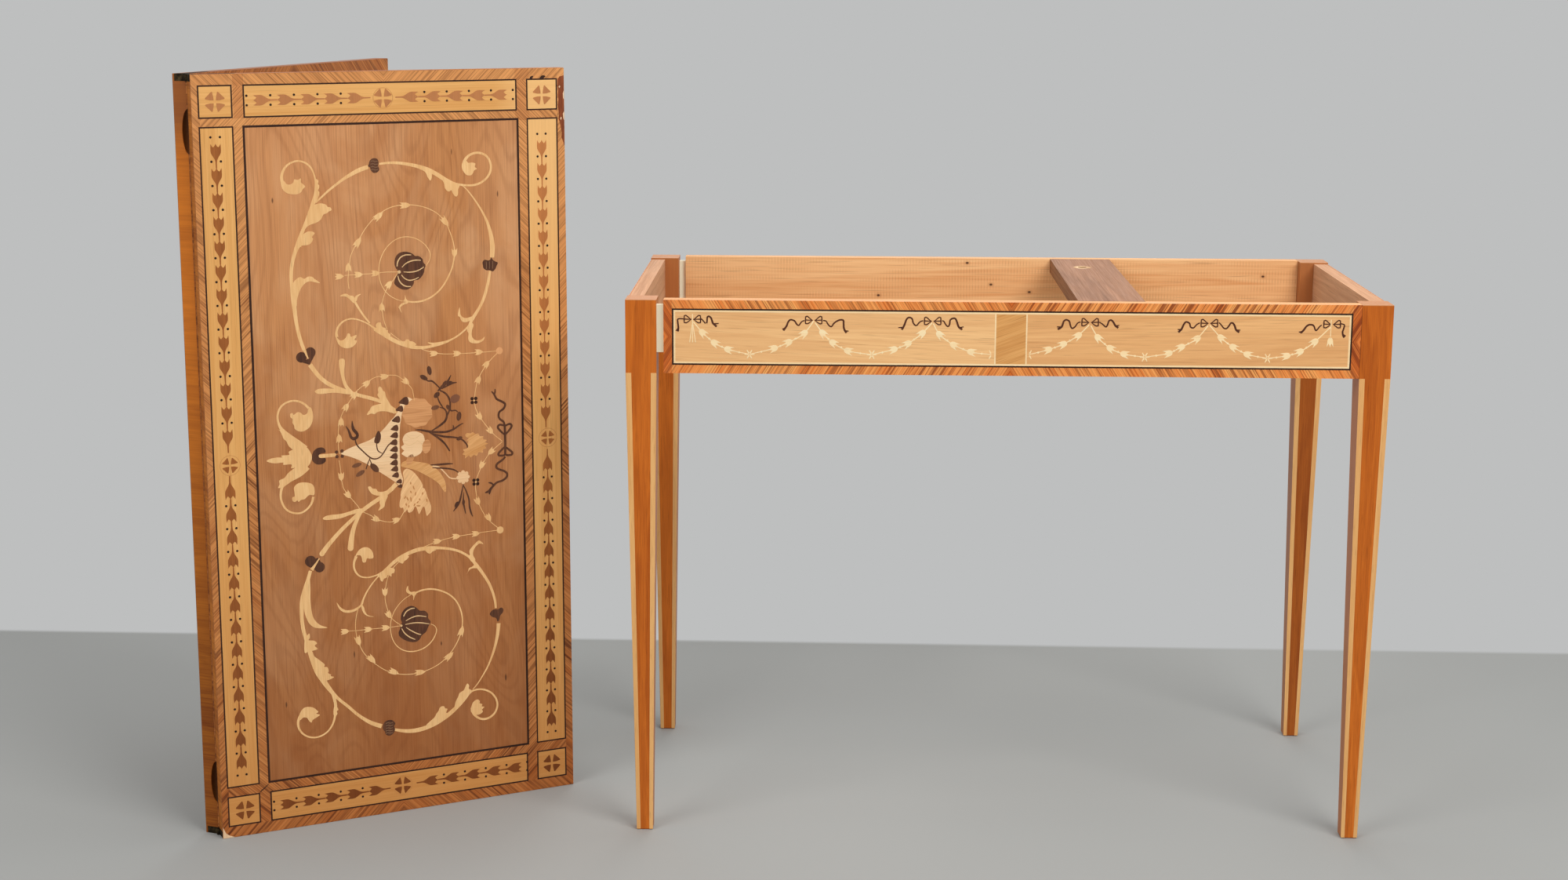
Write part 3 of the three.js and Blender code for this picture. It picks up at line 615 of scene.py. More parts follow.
# THE TWO LEAVES
# Pine cores whose edges are lipped with wood that runs across them. The loose top stands
# on its end, opened like a book, with the veneers of its show face edge to edge.
hinge_line = (-0.756753, -0.241129, 0)
upper_turn, lower_turn = math.radians(27.9), math.radians(70.4)
leaf_across, leaf_up, leaf_thick = 0.5, 1.008, 0.0205     # metres
leaf_middle = leaf_up / 2
seam = 0.0003
show_depth = -leaf_thick - seam
just_inside = 0.0002


def leaf_place(turn, u, depth, v):
    """A point of a leaf, counted from its hinge line, its playing face and the floor, in metres."""
    return Vector(hinge_line) + Matrix.Rotation(turn, 3, "Z") @ Vector((u, depth, v))


def lipped(side):
    """Grain runs through the leaf's thickness at its edges, and up the leaf on its flat side."""
    def lay(place):
        height, depth, across = place.parts()
        flat = depth * side > leaf_thick - just_inside
        x = flat * height + (1 - flat) * depth
        y = flat * depth + (1 - flat) * height
        return place.joined(x, y, across)
    return lay


def edge_wood_and_shade(side, flat_wood):
    """Painted light and shade: the edges are painted darker towards the foot and paler above it, as the light falls,
    and darker again near the top; the hollows are painted in shade, and the flat side is another wood.
    """
    def tint(place, wood, grain):
        height, depth, across = place.parts()
        # painted shade towards the foot, painted light above it
        wood = height.span(0.1, 0.75, 0.4, 0).mix(wood, colour(96, 40, 2))
        wood = height.span(0.25, 0.7, 0, 0.48).mix(wood, colour(240, 136, 44))
        wood = height.span(0.9, 0.95, 0, 0.6).mix(wood, colour(104, 62, 42))
        skin = 0.0012
        hollow_shade = (height > skin) * (height < leaf_up - skin)
        for inward, size in ((abs(depth), leaf_thick), (abs(across), leaf_across)):
            hollow_shade = hollow_shade * (inward > skin) * (inward < size - skin)
        # painted shade in the hollows
        wood = (hollow_shade * 0.8).mix(wood, colour(48, 26, 12))
        flat = depth * side > leaf_thick - just_inside
        return (flat * 0.85).mix(wood, flat_wood)
    return tint


upright_leaf = (0, -math.pi / 2, upper_turn)
lipping = dict(centre=hinge_line, streaks=(8, 460), figure=(4, 34), contrast=1.3, rough=0.4)
dress(timber("lower_leaf_edges", (132, 64, 10), (200, 118, 34), (0, -math.pi / 2, lower_turn),
             lay=lipped(1), tint=edge_wood_and_shade(1, colour(150, 104, 70)), **lipping), "lower_leaf_panel")
dress(timber("upper_leaf_edges", (146, 76, 22), (210, 130, 52), upright_leaf,
             lay=lipped(-1), **lipping), "upper_leaf_panel")


# dark flecks in the ground: across, up, half their width and half their height, in mm
field_flecks = [(98.5, 846.5, 1.2, 3.5), (403, 843, 1, 4), (340, 901, 0.7, 4), (92, 174, 1.2, 4),
                (401.6, 171, 1.4, 5), (309.5, 231.5, 1.1, 3), (187, 231.5, 1, 4.5)]


def field_grain_and_light(place, wood, grain):
    """The ground has a painted sheen, paler in hazy patches that grow towards the top, painted shade browner towards
    the end it stands on, painted light paler higher up and most at one edge, and a few dark flecks.
    """
    height, depth, across = place.parts()
    flat = place.joined(height, depth * 0, across)
    painted_sheen = flat.scaled(5, 5, 9).noise(detail=3, roughness=0.6, distortion=1.2)
    # painted sheen, stronger towards the top
    wood = (painted_sheen.span(0.46, 0.68) * height.span(0.2, 0.9, 0.35, 0.6)).mix(wood, colour(216, 164, 118))
    # painted shade towards the foot
    wood = height.span(0.05, 0.62, 0.55, 0).mix(wood, colour(132, 70, 30))
    # painted light higher up, most at one edge
    wood = (across.span(-0.43, -0.34, 0.4, 0) * height.span(0.35, 0.7)).mix(wood, colour(226, 170, 122))
    wood = (height.span(0.45, 0.95, 0, 0.36) * across.span(-0.34, -0.2)).mix(wood, colour(232, 168, 116))
    loops = flat.scaled(2.4, 1, 8).noise(detail=1, distortion=0.8) * 120 + flat.scaled(14, 1, 420).noise(detail=2) * 3
    wood = (loops.math("SINE").span(0.2, 1) * 0.16).mix(wood, colour(120, 62, 26))
    wood = (flat.scaled(7, 1, 1100).noise(detail=2).span(0.52, 0.7) * 0.3).mix(wood, colour(112, 60, 30))
    for u, v, half_wide, half_high in field_flecks:
        spot = ((across * 1000 + u) / half_wide).math("POWER", 2) + ((height * 1000 - v) / half_high).math("POWER", 2)
        wood = spot.span(0.2, 1.5, 0.75, 0).mix(wood, colour(64, 34, 22))
    return wood


dress(timber("field_wood", (168, 102, 54), (212, 148, 92), upright_leaf, centre=hinge_line,
             streaks=(11, 800), figure=(2.4, 9), contrast=0.9, tint=field_grain_and_light), "marquetry_field")


def band_light_and_shade(upward, across_axis):
    """The gold of the bands has painted shade, browner towards the end the top stands on, and painted light, palest
    high on the free side.
    """
    def tint(place, wood, grain):
        parts = place.parts()
        # painted shade towards the foot, then painted light high on the free side
        wood = parts[upward].span(0, 0.42, 0.5, 0).mix(wood, colour(176, 96, 24))
        free_side = abs(parts[across_axis]).span(0.4, 0.45) * parts[upward].span(0.6, 0.9, 0, 0.5)
        return free_side.mix(wood, colour(255, 208, 142))
    return tint


gold = dict(dark=(218, 154, 84), light=(242, 186, 114), centre=hinge_line, streaks=(9, 760),
            figure=(1.3, 40), contrast=1.1, rough=0.4)
level_leaf = (0, 0, upper_turn)
dress(timber("upright_band_wood", turn=upright_leaf, tint=band_light_and_shade(0, 2), **gold), "hinge_side_husk_band",
      "free_side_husk_band")
dress(timber("level_band_wood", turn=level_leaf, tint=band_light_and_shade(2, 0), **gold), "lower_end_husk_band",
      "upper_end_husk_band", "lower_hinge_corner_square", "lower_free_corner_square", "upper_hinge_corner_square",
      "upper_free_corner_square")
show_centre = leaf_place(upper_turn, leaf_across / 2, show_depth, leaf_middle)


def show_face_strips(place, wood, grain):
    """Painted light and shade: the strips are painted palest at the top and darkest at the foot, each by its own
    share, with dark stripes on them.
    """
    across, depth, up = place.parts()
    inner_left, inner_right, outer_right = abs(across + 0.192) < 0.01, abs(across - 0.19) < 0.01, across > 0.24
    # painted light, by strip and by height
    paler = up.span(-0.3, 0.45, 0.04, 0.42) + (up > 0.4375) * 0.14 + inner_left * up.span(0, 0.1, 0, 0.16)
    paler += inner_right * (up.span(-0.45, -0.35, 0, 0.3) - up.span(0.02, 0.12, 0, 0.3) + up.span(0.27, 0.3, 0, 0.2))
    paler += outer_right * up.span(0, 0.03, 0, 0.18) - (up > 0.49) * (across < -0.03) * 0.1
    wood = paler.span(0, 1).mix(wood, colour(255, 186, 116))
    # painted shade, by strip and by height
    darker = up.span(-0.47, -0.4, 0.42, 0.16) + (outer_right + inner_right) * up.span(-0.1, 0.05, 0.1, 0)
    darker += (inner_right * (up > 0.436) + (abs(across + 0.19) < 0.007) * (up > 0.448)) * 0.25
    wood = darker.mix(wood, colour(162, 70, 0))
    return stripes(colour(92, 38, 14), up.span(0.1, 0.42, 0.85, 0.4))(place, wood, grain)


dress(timber("banding_show_face", (164, 90, 38), (226, 156, 90), level_leaf, centre=show_centre,
             lay=slanted(False, outer=(0.24, 0.4885)), tint=show_face_strips, **banding), "show_face_crossbanding")
for name, turn in (("upper_leaf", upper_turn), ("lower_leaf", lower_turn)):
    dress(timber("banding_play_" + name, (158, 82, 32), (216, 138, 72), (0, 0, turn),
                 centre=leaf_place(turn, leaf_across / 2, 0, leaf_middle), lay=slanted(False),
                 tint=stripes(colour(96, 44, 20)), **banding), name + "_playing_border")

# BORDERS OF THE SHOW FACE
# Dark lines frame the field, the bands and the corner squares. Chains of brown husks run
# from a quartered flower at the middle of each band, with dark dots let in between them.
along_leaf = (math.cos(upper_turn), math.sin(upper_turn), 0)
show_face = face(leaf_place(upper_turn, 0, show_depth, 0), along_leaf, (0, 0, 1))
leaf_dark = timber("leaf_dark_line", (36, 18, 10), (66, 36, 22), upright_leaf, streaks=(40, 900))
square_line, field_line = 1.9, 2.8


def let_in(name, shapes, wood, lift=0.0):
    """Pieces let into the show face, with their lift in mm."""
    inlay(name, shapes, show_face, wood, "upper_leaf", lift * mm)


# the joints of the bands and squares, of the end bands and of the field, in mm
bands_across, bands_up = ((9, 51), (447, 489)), ((16, 56), (953.5, 993.5))
end_across, field_across, field_up = (66.5, 431.5), (65, 433), (70, 941.5)


def line_round(across, up, width):
    """A line of one width that runs over the four joints of a piece."""
    half = width / 2
    return border((across[0] - half, up[0] - half), (across[1] + half, up[1] + half), width)


lines = [line_round(across, up, square_line) for across in bands_across for up in bands_up + (field_up,)]
lines += [line_round(end_across, up, square_line) for up in bands_up]
lines.append(line_round(field_across, field_up, field_line))
let_in("show_face_lines", lines, leaf_dark)
losses = [
    [(451, 994.5), (452, 997), (455, 998.2), (456.6, 997.4), (455.5, 995.5), (454, 993.8)],
    [(464.5, 993.8), (466.5, 996.5), (469, 998.6), (472.5, 998.2), (474, 996.6), (472, 995.4), (470, 993.8)],
    [(50.5, 56.5), (54, 58.5), (58, 61.5), (62, 65), (65, 68), (61.5, 66), (57.5, 62.8), (53.5, 60)],
]
let_in("veneer_losses", losses, leaf_dark, -0.03)
bare_wood = timber("bare_edge", (84, 30, 12), (154, 80, 42), upright_leaf, streaks=(50, 420),
                   contrast=1.5, rough=0.6, coat=0)
worn_edge = [(499.7, 998), (494, 996.5), (490.8, 993), (490.5, 984), (491.8, 979), (490.6, 972), (491.8, 966),
             (490.7, 958), (491.8, 951), (492.7, 946), (491.5, 941), (493.5, 935), (494.7, 928), (496.2, 922),
             (495.4, 916), (497.6, 910), (499.7, 904)]
let_in("worn_free_edge", [worn_edge], bare_wood, -0.03)
fresh_break = timber("fresh_break", (222, 176, 132), (246, 214, 176), upright_leaf, rough=0.7, coat=0)
chips = [
    [(499.7, 978), (498.2, 974), (498.6, 968), (499.7, 966)],
    [(499.7, 950), (497.8, 947), (498.4, 941), (499.7, 938)],
    [(495, 943), (494, 940), (495.4, 938.6), (496.2, 941.5)],
    [(493.8, 985), (492.4, 982.6), (493.6, 981.2), (494.6, 983)],
    [(0.3, 16), (0.3, 0.4), (16, 0.4), (9, 3.4), (4.4, 7)],
]
let_in("fresh_breaks", chips, fresh_break, -0.01)

band_husk = mirrored([(.75, -30), (.95, -21.6), (1.6, -18.8), (3.2, -15.8), (5, -13), (6.3, -10.4), (6.7, -7.4),
                      (6.6, -3), (6.3, 1), (4.8, -1.8), (3.3, -3.4), (1.6, -1.8), (0, 1)])
petal = [(1.2, 1.4), (1.4, 4.5), (2.5, 9.6), (3.4, 9.8), (6.4, 6.8), (9.7, 3.6), (9.5, 2.6), (5, 1.5)]
flower_ring = 13.4


def husk_light_and_shade(place, wood, grain):
    """The husks have painted shade, darkest at the end the top stands on, and painted light, palest high up and on
    the free side.
    """
    height, depth, across = place.parts()
    # painted shade towards the foot, painted light high up and on the free side
    wood = height.span(0.02, 0.45, 0.62, 0).mix(wood, colour(96, 40, 6))
    free_side = across.span(-0.44, -0.4, 1, 0) * (height < 0.945)
    wood = (free_side * height.span(0.35, 0.95, 0, 0.4)).mix(wood, colour(240, 160, 96))
    return height.span(0.94, 0.96, 0, 0.36).mix(wood, colour(226, 160, 108))


husk_brown = timber("husk_brown", (134, 74, 32), (182, 110, 52), upright_leaf, centre=hinge_line,
                    streaks=(24, 620), tint=husk_light_and_shade)
dot_dark = timber("dot_dark", (32, 16, 10), (54, 30, 20), upright_leaf)
first_tip, dot_ahead, dot_aside, dot_radius = 45.3, 9.4, 6, 1.6


def quartered_flower(x, y, size):
    return [turned_about([(a * sx, b * sy) for a, b in petal], x, y, 0, size) for sx in (-1, 1) for sy in (-1, 1)]


def husk_chain(x, y, angle, count, pitch=30.6):
    husks, dots = [], []
    for k in range(count):
        tip = first_tip + pitch * k
        husks.append(turned_about([(a, b + tip) for a, b in band_husk], x, y, angle))
        for side in (-1, 1):
            dots.append(turned_about(disc_shape(side * dot_aside, tip + dot_ahead, dot_radius, 10), x, y, angle))
    return husks, dots


joint_line = timber("joint_line", (186, 122, 66), (204, 142, 84), upright_leaf)
# a band's flower (across, up, size), its husks each way, and for either chain where it starts, in mm, its turn, and
# its pitch where that is not the usual one
for name, x, y, size, count, chains in (
        ("hinge_side", 30, 505.8, 1.03, 13, ((28.5, 507.3, 0), (28.8, 507.3, math.pi))),
        ("free_side", 469.2, 505.2, 0.97, 13, ((466.8, 504.4, 0, 30.15), (468.3, 504.6, math.pi))),
        ("lower_end", 249.3, 37, 1.18, 5, ((247.3, 35.4, math.pi / 2), (253.7, 37.4, -math.pi / 2))),
        ("upper_end", 248.5, 973.4, 1.22, 5, ((247.3, 974.2, math.pi / 2), (250, 974, -math.pi / 2)))):
    flowers, dots = quartered_flower(x, y, size), []
    ring = [disc_shape(x, y, radius, 40) for radius in (flower_ring, flower_ring - 0.5)]
    let_in(name + "_flower_joint", [ring], joint_line, -0.02)
    for chain_x, chain_y, angle, *pitch in chains:
        more_husks, more_dots = husk_chain(chain_x, chain_y, angle, count, *pitch)
        flowers += more_husks
        dots += more_dots
    let_in(name + "_husk_chain", flowers, husk_brown)
    let_in(name + "_dots", dots, dot_dark)
corner_flower_size = 1.28
for name, x, y in (("lower_hinge", 31, 36), ("lower_free", 468, 36), ("upper_hinge", 30, 973.5),
                   ("upper_free", 468, 972.5)):
    let_in(name + "_corner_flower", quartered_flower(x, y, corner_flower_size), husk_brown)

# SCROLLS OF THE SHOW FACE
# Two runs of acanthus scrolls in pale wood, turned towards each other above and below the vase.
# Each stem, leaf and husk is fretsawn from veneer and let into the darker field.
def leaf_shape(knots, steps=3):
    return through(knots, closed=True, steps=steps)


def strokes(rows):
    return [stroke(knots) for knots in rows]


def leaf_shapes(rows):
    return [leaf_shape(knots) for knots in rows]


scroll_wood = timber("scroll_wood", (226, 170, 108), (252, 208, 148), upright_leaf, centre=hinge_line,
                     streaks=(20, 640), figure=(9, 60), contrast=0.9)
upper_stems = [
    [(133, 650, 4.5), (129, 662, 4.6), (125.7, 676, 4.6), (123.5, 690, 5), (122.3, 704, 5.6), (121.3, 718, 6.5),
     (119.8, 733, 4.5), (119.3, 748, 4.4), (121, 763, 4.6), (125, 777, 5), (129.5, 788, 6), (134, 800, 5),
     (138.5, 810, 4.5), (144, 822, 5), (149, 833, 6), (152, 843, 4.8), (154.6, 852, 3.6), (155.6, 861, 2.6),
     (155.5, 870, 2), (153.9, 878, 1.9), (150.5, 886, 2.2), (144, 892.5, 2.3), (136, 895.5, 2.2), (129, 895.3, 2.3),
     (121, 892, 2.5), (115, 886, 3), (111.8, 878, 3.5), (112, 870, 4), (114.5, 863, 4.5)],
    [(155, 841.5, 2), (163, 848.4, 2.3), (172, 856, 2.8), (182, 863.2, 3), (192, 870, 3.6), (203, 876.2, 4.8),
     (214, 881.3, 5.6), (226, 885, 5.2)],
    [(241, 888.3, 2.6), (252, 889.2, 3), (264, 889, 3.6), (276, 887.3, 4), (288, 884.8, 4.6), (299, 881.5, 5.2),
     (309, 877.5, 5.6), (319, 872, 5.4), (328, 866, 5.6), (336, 861.5, 5), (344, 858.5, 3.6), (353, 856.8, 2.6),
     (362, 855.8, 2.6), (371, 856, 2.8), (380, 858.8, 2.8), (388, 864.5, 2.8), (393, 872, 3), (394.4, 880, 2.9),
     (392.5, 888, 2.8), (387.5, 894.5, 2.9), (380, 898, 3), (372, 898.2, 3), (364.5, 895.5, 3.2), (358.8, 890, 4),
     (356.3, 883, 5)],
    [(351, 858, 1), (358, 852.5, 1.4), (366, 843, 1.7), (374, 831.5, 2.1), (381, 820, 2.5), (387, 807.5, 3.4),
     (391, 795, 4.6), (393.6, 782, 6), (394.3, 770, 6.6), (393.5, 758, 6)],
    [(390.3, 740, 3), (388.5, 730, 3.8), (385.5, 718, 4), (381, 704.5, 4), (375, 692.5, 3.8), (368.5, 683, 4.4),
     (363, 675, 4.5), (358.5, 667.5, 2.6), (350, 660, 2.2), (340, 653.5, 2.2), (329, 649, 2.6), (318, 646.8, 3.4),
     (308, 646.5, 3.2), (301, 648.8, 1.2)],
    [(330, 648.5, 2), (318, 645.5, 3), (305, 643.3, 3.5), (293, 642.6, 4), (281, 644, 5), (269, 648, 5.4),
     (257, 653.3, 5.2), (246, 660, 5.2), (237, 666.5, 5), (229, 672, 3), (221, 678.3, 1.8), (212, 683.3, 1.7),
     (203, 686.6, 1.8), (194, 687.2, 2), (185.5, 684, 2.2), (179.5, 678, 2.6), (176.7, 671, 3), (177.2, 664.5, 4)],
    [(222, 680, 2.2), (215.5, 688.5, 2.4), (209.3, 698, 2.6), (203.5, 708, 3), (201.5, 712, 3.4)],
    [(195.5, 727, .9), (194.5, 738, .9), (195.6, 748, .9), (197.2, 760, .9), (199.5, 771, .9), (204.5, 781, .9),
     (212, 793, .9), (220, 805, .9), (230, 816, .9), (242, 825, .9), (254, 830.8, 1), (268, 833.5, 1),
     (282, 833.3, 1), (296, 830.8, 1), (308, 826.5, 1), (320, 819, 1), (330, 807, 1.1), (336, 793, 1.2),
     (340, 779, 1.2), (340.8, 765, 1.6), (338, 750, 1.8), (333, 738, 2), (325, 725, 2), (316, 715.5, 2.1),
     (305, 708.5, 2.2), (293, 704.8, 2.3), (281, 704.5, 2.2), (272, 706.3, 2.4)],
    [(268, 706.5, .7), (259, 709.5, .8), (249, 716, .9), (241.5, 725.5, 1), (237.3, 736.5, 1), (236.3, 748, 1),
     (238, 760, 1), (242.7, 771.5, 1), (250.5, 781.5, 1), (260.5, 788.5, 1.1), (272, 791.5, 1.1), (284, 790, 1.1),
     (295, 784.5, 1.1), (303, 776.5, 1), (307.3, 767, 1), (305.5, 758, .8), (300.5, 751.5, .6)],
]
upper_leaves = [
    [(155, 871), (157.5, 871.6), (159.4, 869.5), (159.1, 867), (158.6, 865.4), (160.3, 863.5), (160, 860),
     (158.5, 857), (160.1, 855), (159.8, 851.5), (158.3, 847.5), (156.3, 843.6), (152, 838), (148, 838),
     (150.8, 845), (152.7, 850), (154.4, 856), (154.8, 863)],
    [(110.3, 869), (112, 861), (117, 855.5), (124, 853.5), (131, 853.3), (136, 855.5), (138.6, 859.6), (142, 862.6),
     (139, 866), (136.4, 868.5), (136.5, 873.5), (132.5, 871.5), (128, 872.5), (126.5, 868.5), (122, 866),
     (117.5, 867), (114.3, 871)],
    [(122, 716), (119.5, 727), (120.5, 736), (124, 742), (129, 745.5), (132, 746), (134.5, 744.3), (137, 743.5),
     (141.5, 746), (147, 745.5), (149.5, 743), (153, 740.5), (157, 736.8), (151, 738), (144, 739.8), (138, 738),
     (132.5, 732.5), (128.5, 725), (126, 717), (125, 708)],
    [(124, 778), (129, 781.5), (133.5, 785.5), (135.5, 783.7), (134, 786.5), (141, 787), (145.5, 788.3),
     (148.5, 791.3), (150, 795), (148.3, 797), (150.2, 799.5), (152.3, 802.2), (149, 804.3), (143, 804.5),
     (137.5, 801.5), (133, 797)],
    [(138, 806), (142, 810.5), (148, 813.5), (156, 816), (161.5, 820), (164.5, 825.5), (169, 827), (171.5, 829),
     (175.5, 831), (174, 834.5), (170.5, 835.3), (168, 838.5), (161, 840.3), (154, 839), (149, 836)],
    [(295, 880), (301, 877.3), (304.5, 873.5), (306, 869.3), (309.8, 864), (312, 868), (312.3, 871.5),
     (314, 874.5), (320, 871), (309, 879)],
    [(318, 871), (325, 865.5), (328.5, 860), (329.7, 853.5), (333, 849.5), (335.8, 848.8), (338.5, 850.3),
     (340.3, 846.5), (343.3, 842.3), (346.2, 842), (347.7, 845.5), (348, 851), (350, 857), (342, 860), (332, 866)],
    [(354, 884), (354.3, 877.5), (357.3, 872.5), (361, 869.3), (366, 869), (369, 871.5), (371, 875.3),
     (374.8, 877.3), (371.8, 880), (372.8, 884.3), (368, 885.8), (363, 885.6), (360.8, 888), (357.5, 890)],
    [(367, 680.5), (363, 676.5), (357.5, 673.3), (351.5, 673), (348, 676), (346.7, 680), (343.8, 682.3),
     (344.3, 687), (346.3, 693.5), (347, 688.5), (347.3, 684), (350, 680.2), (355, 678.3), (361, 679.5)],
    [(361, 673), (357.3, 667), (356.3, 661), (358.3, 657), (357.5, 650), (360, 645.3), (366, 643.3), (373, 643.6),
     (379, 646.6), (380.8, 651.5), (377, 648.3), (371, 646.8), (365.5, 649), (362.6, 654), (363, 661),
     (365.5, 668.5)],
    [(175.6, 666), (177, 659.5), (180, 653.5), (185.5, 649.8), (191, 648.7), (197.5, 650), (202.3, 654),
     (203.8, 658), (200.5, 659.2), (203, 662.5), (203.3, 665.5), (199, 664.3), (195.8, 663.6), (194.7, 667.5),
     (192, 668.3), (190.3, 664.8), (188, 661.8), (183.5, 659.5), (179.5, 661)],
    [(227, 670), (230.5, 673), (230, 676.5), (232.5, 679.8), (237, 679.8), (237.7, 676.3), (239.5, 673.3),
     (243, 672.3), (243.8, 669.8), (246.5, 669), (246.3, 666), (250, 662.3), (243, 660)],
    [(262, 653), (269, 652.7), (271, 655), (274.8, 654.6), (276, 652.3), (280, 651.8), (285, 647), (275, 646)],
    [(201, 708), (196, 713), (191, 717), (183, 718), (187, 720.3), (192, 720.7), (196, 718.3), (201, 717),
     (203, 712)],
    [(201.5, 710), (203, 715.5), (206.5, 718.3), (211.5, 719.4), (207, 715.8), (205, 710.5)],
    [(275, 704.5), (270, 704.8), (266, 703.3), (262.5, 700), (262.3, 697.5), (265.8, 690.8), (264.2, 697.8),
     (267, 700.5), (270, 702), (274, 703)],
    [(268.5, 706), (270.8, 709.5), (271.3, 714.5), (272.5, 709.5), (275, 705.5)],
]
lower_stems = [
    [(131, 354, 4.5), (127.5, 343, 5), (123, 330, 6), (119.5, 318, 6.5), (117.5, 305, 6), (117, 290, 5),
     (118.5, 275, 5), (121.5, 262, 5), (124.5, 250, 5), (127.5, 239, 6.5), (131, 227, 7), (136, 214, 8),
     (142, 203, 7.5), (148.5, 192, 6.5), (156, 181, 5), (164.5, 171, 4), (176, 160, 4), (187, 148.5, 4),
     (198, 139, 4.5), (209, 131.5, 5.5), (222, 125.5, 6)],
    [(148, 196, 3), (153.5, 185, 3.5), (157.5, 173, 4), (159, 161, 4), (157.5, 149, 3), (154, 138, 2.4),
     (146.5, 128.5, 2.2), (136, 123.5, 2.2), (125, 123.5, 2.3), (115, 128.5, 2.4), (108.5, 137, 2.8),
     (106.8, 147, 3.4), (109.5, 155, 4)],
    [(239, 118.5, 3.5), (250, 115.2, 4.5), (262, 113, 5.5), (275, 113, 6), (288, 115.5, 6), (300, 119.5, 6),
     (312, 125.5, 6), (322, 132, 6), (332, 140, 5.5), (341, 148.5, 5), (348, 155.5, 3.5), (354, 158.3, 2.4),
     (362, 159, 2.3), (371, 157, 2.4), (380, 151.5, 2.5), (386.5, 142.5, 2.6), (388.5, 132, 2.7),
     (384.5, 122, 2.8), (376, 116, 3), (367, 115.2, 3), (359, 119, 3), (353, 126, 3.6), (351.5, 134, 4.5)],
    [(353, 160, 1), (360, 167, 1.4), (368, 178, 1.8), (375.5, 190, 2.2), (381.5, 203, 2.8), (386.5, 217, 3.6),
     (390.3, 232, 4.6), (392, 243, 5.2), (392.5, 250, 5.6)],
    [(389, 272, 3), (388, 283, 3.4), (385, 295, 3.6), (380.5, 307, 3.8), (374.5, 318, 4), (367.5, 329, 4.4),
     (361, 338, 4.6), (355, 346, 3.8), (347.5, 352.5, 3.2), (337.5, 358.5, 3.2), (325, 363, 3.4), (310, 366, 4),
     (295, 367.3, 5.2), (280, 366.8, 5.4), (267, 363.5, 5.2), (255, 358.5, 5.2), (245, 352.5, 4.8),
     (236, 345.5, 4), (228, 340.5, 2.4), (219, 337.3, 1.8), (209, 336, 1.9), (200, 338, 2), (194, 343, 2.3),
     (190.5, 351, 2.6), (190.8, 359.5, 3), (194, 367, 4)],
    [(227, 339, 1.6), (217, 329.5, 1.7), (208, 318, 1.9), (202, 307, 2.4), (199.5, 300, 3)],
    [(195, 297, .9), (191.5, 285, .9), (189.8, 272, .9), (190.5, 260, .9), (193.5, 247, .9), (199, 234, .9),
     (207, 223, .9), (218, 212.5, .9), (230, 203.5, .9), (243, 197.5, .9), (257, 194.3, 1), (272, 193.6, 1),
     (288, 196, 1), (303, 201.5, 1.1), (315, 209.5, 1.1), (326, 221, 1.2), (334, 234, 1.3), (339, 248, 1.5),
     (340.5, 262, 1.8), (338, 276, 2), (332, 289, 2), (322, 299.5, 2.1), (309, 306.5, 2.2), (296, 310, 2.3),
     (283, 309.5, 2.2), (272, 306, 2.4)],
    [(268, 305, .7), (259, 300.5, .8), (250, 292.5, .9), (243, 282.5, 1), (239, 271, 1), (238.3, 259, 1),
     (240.5, 247, 1.1), (246, 236.5, 1.2), (255, 229, 1.3), (266, 225.5, 1.5), (278, 226, 1.6), (289, 230.5, 1.6),
     (298, 239, 1.5), (303, 250, 1.2), (301, 257, .9), (295, 261, .6)],
]
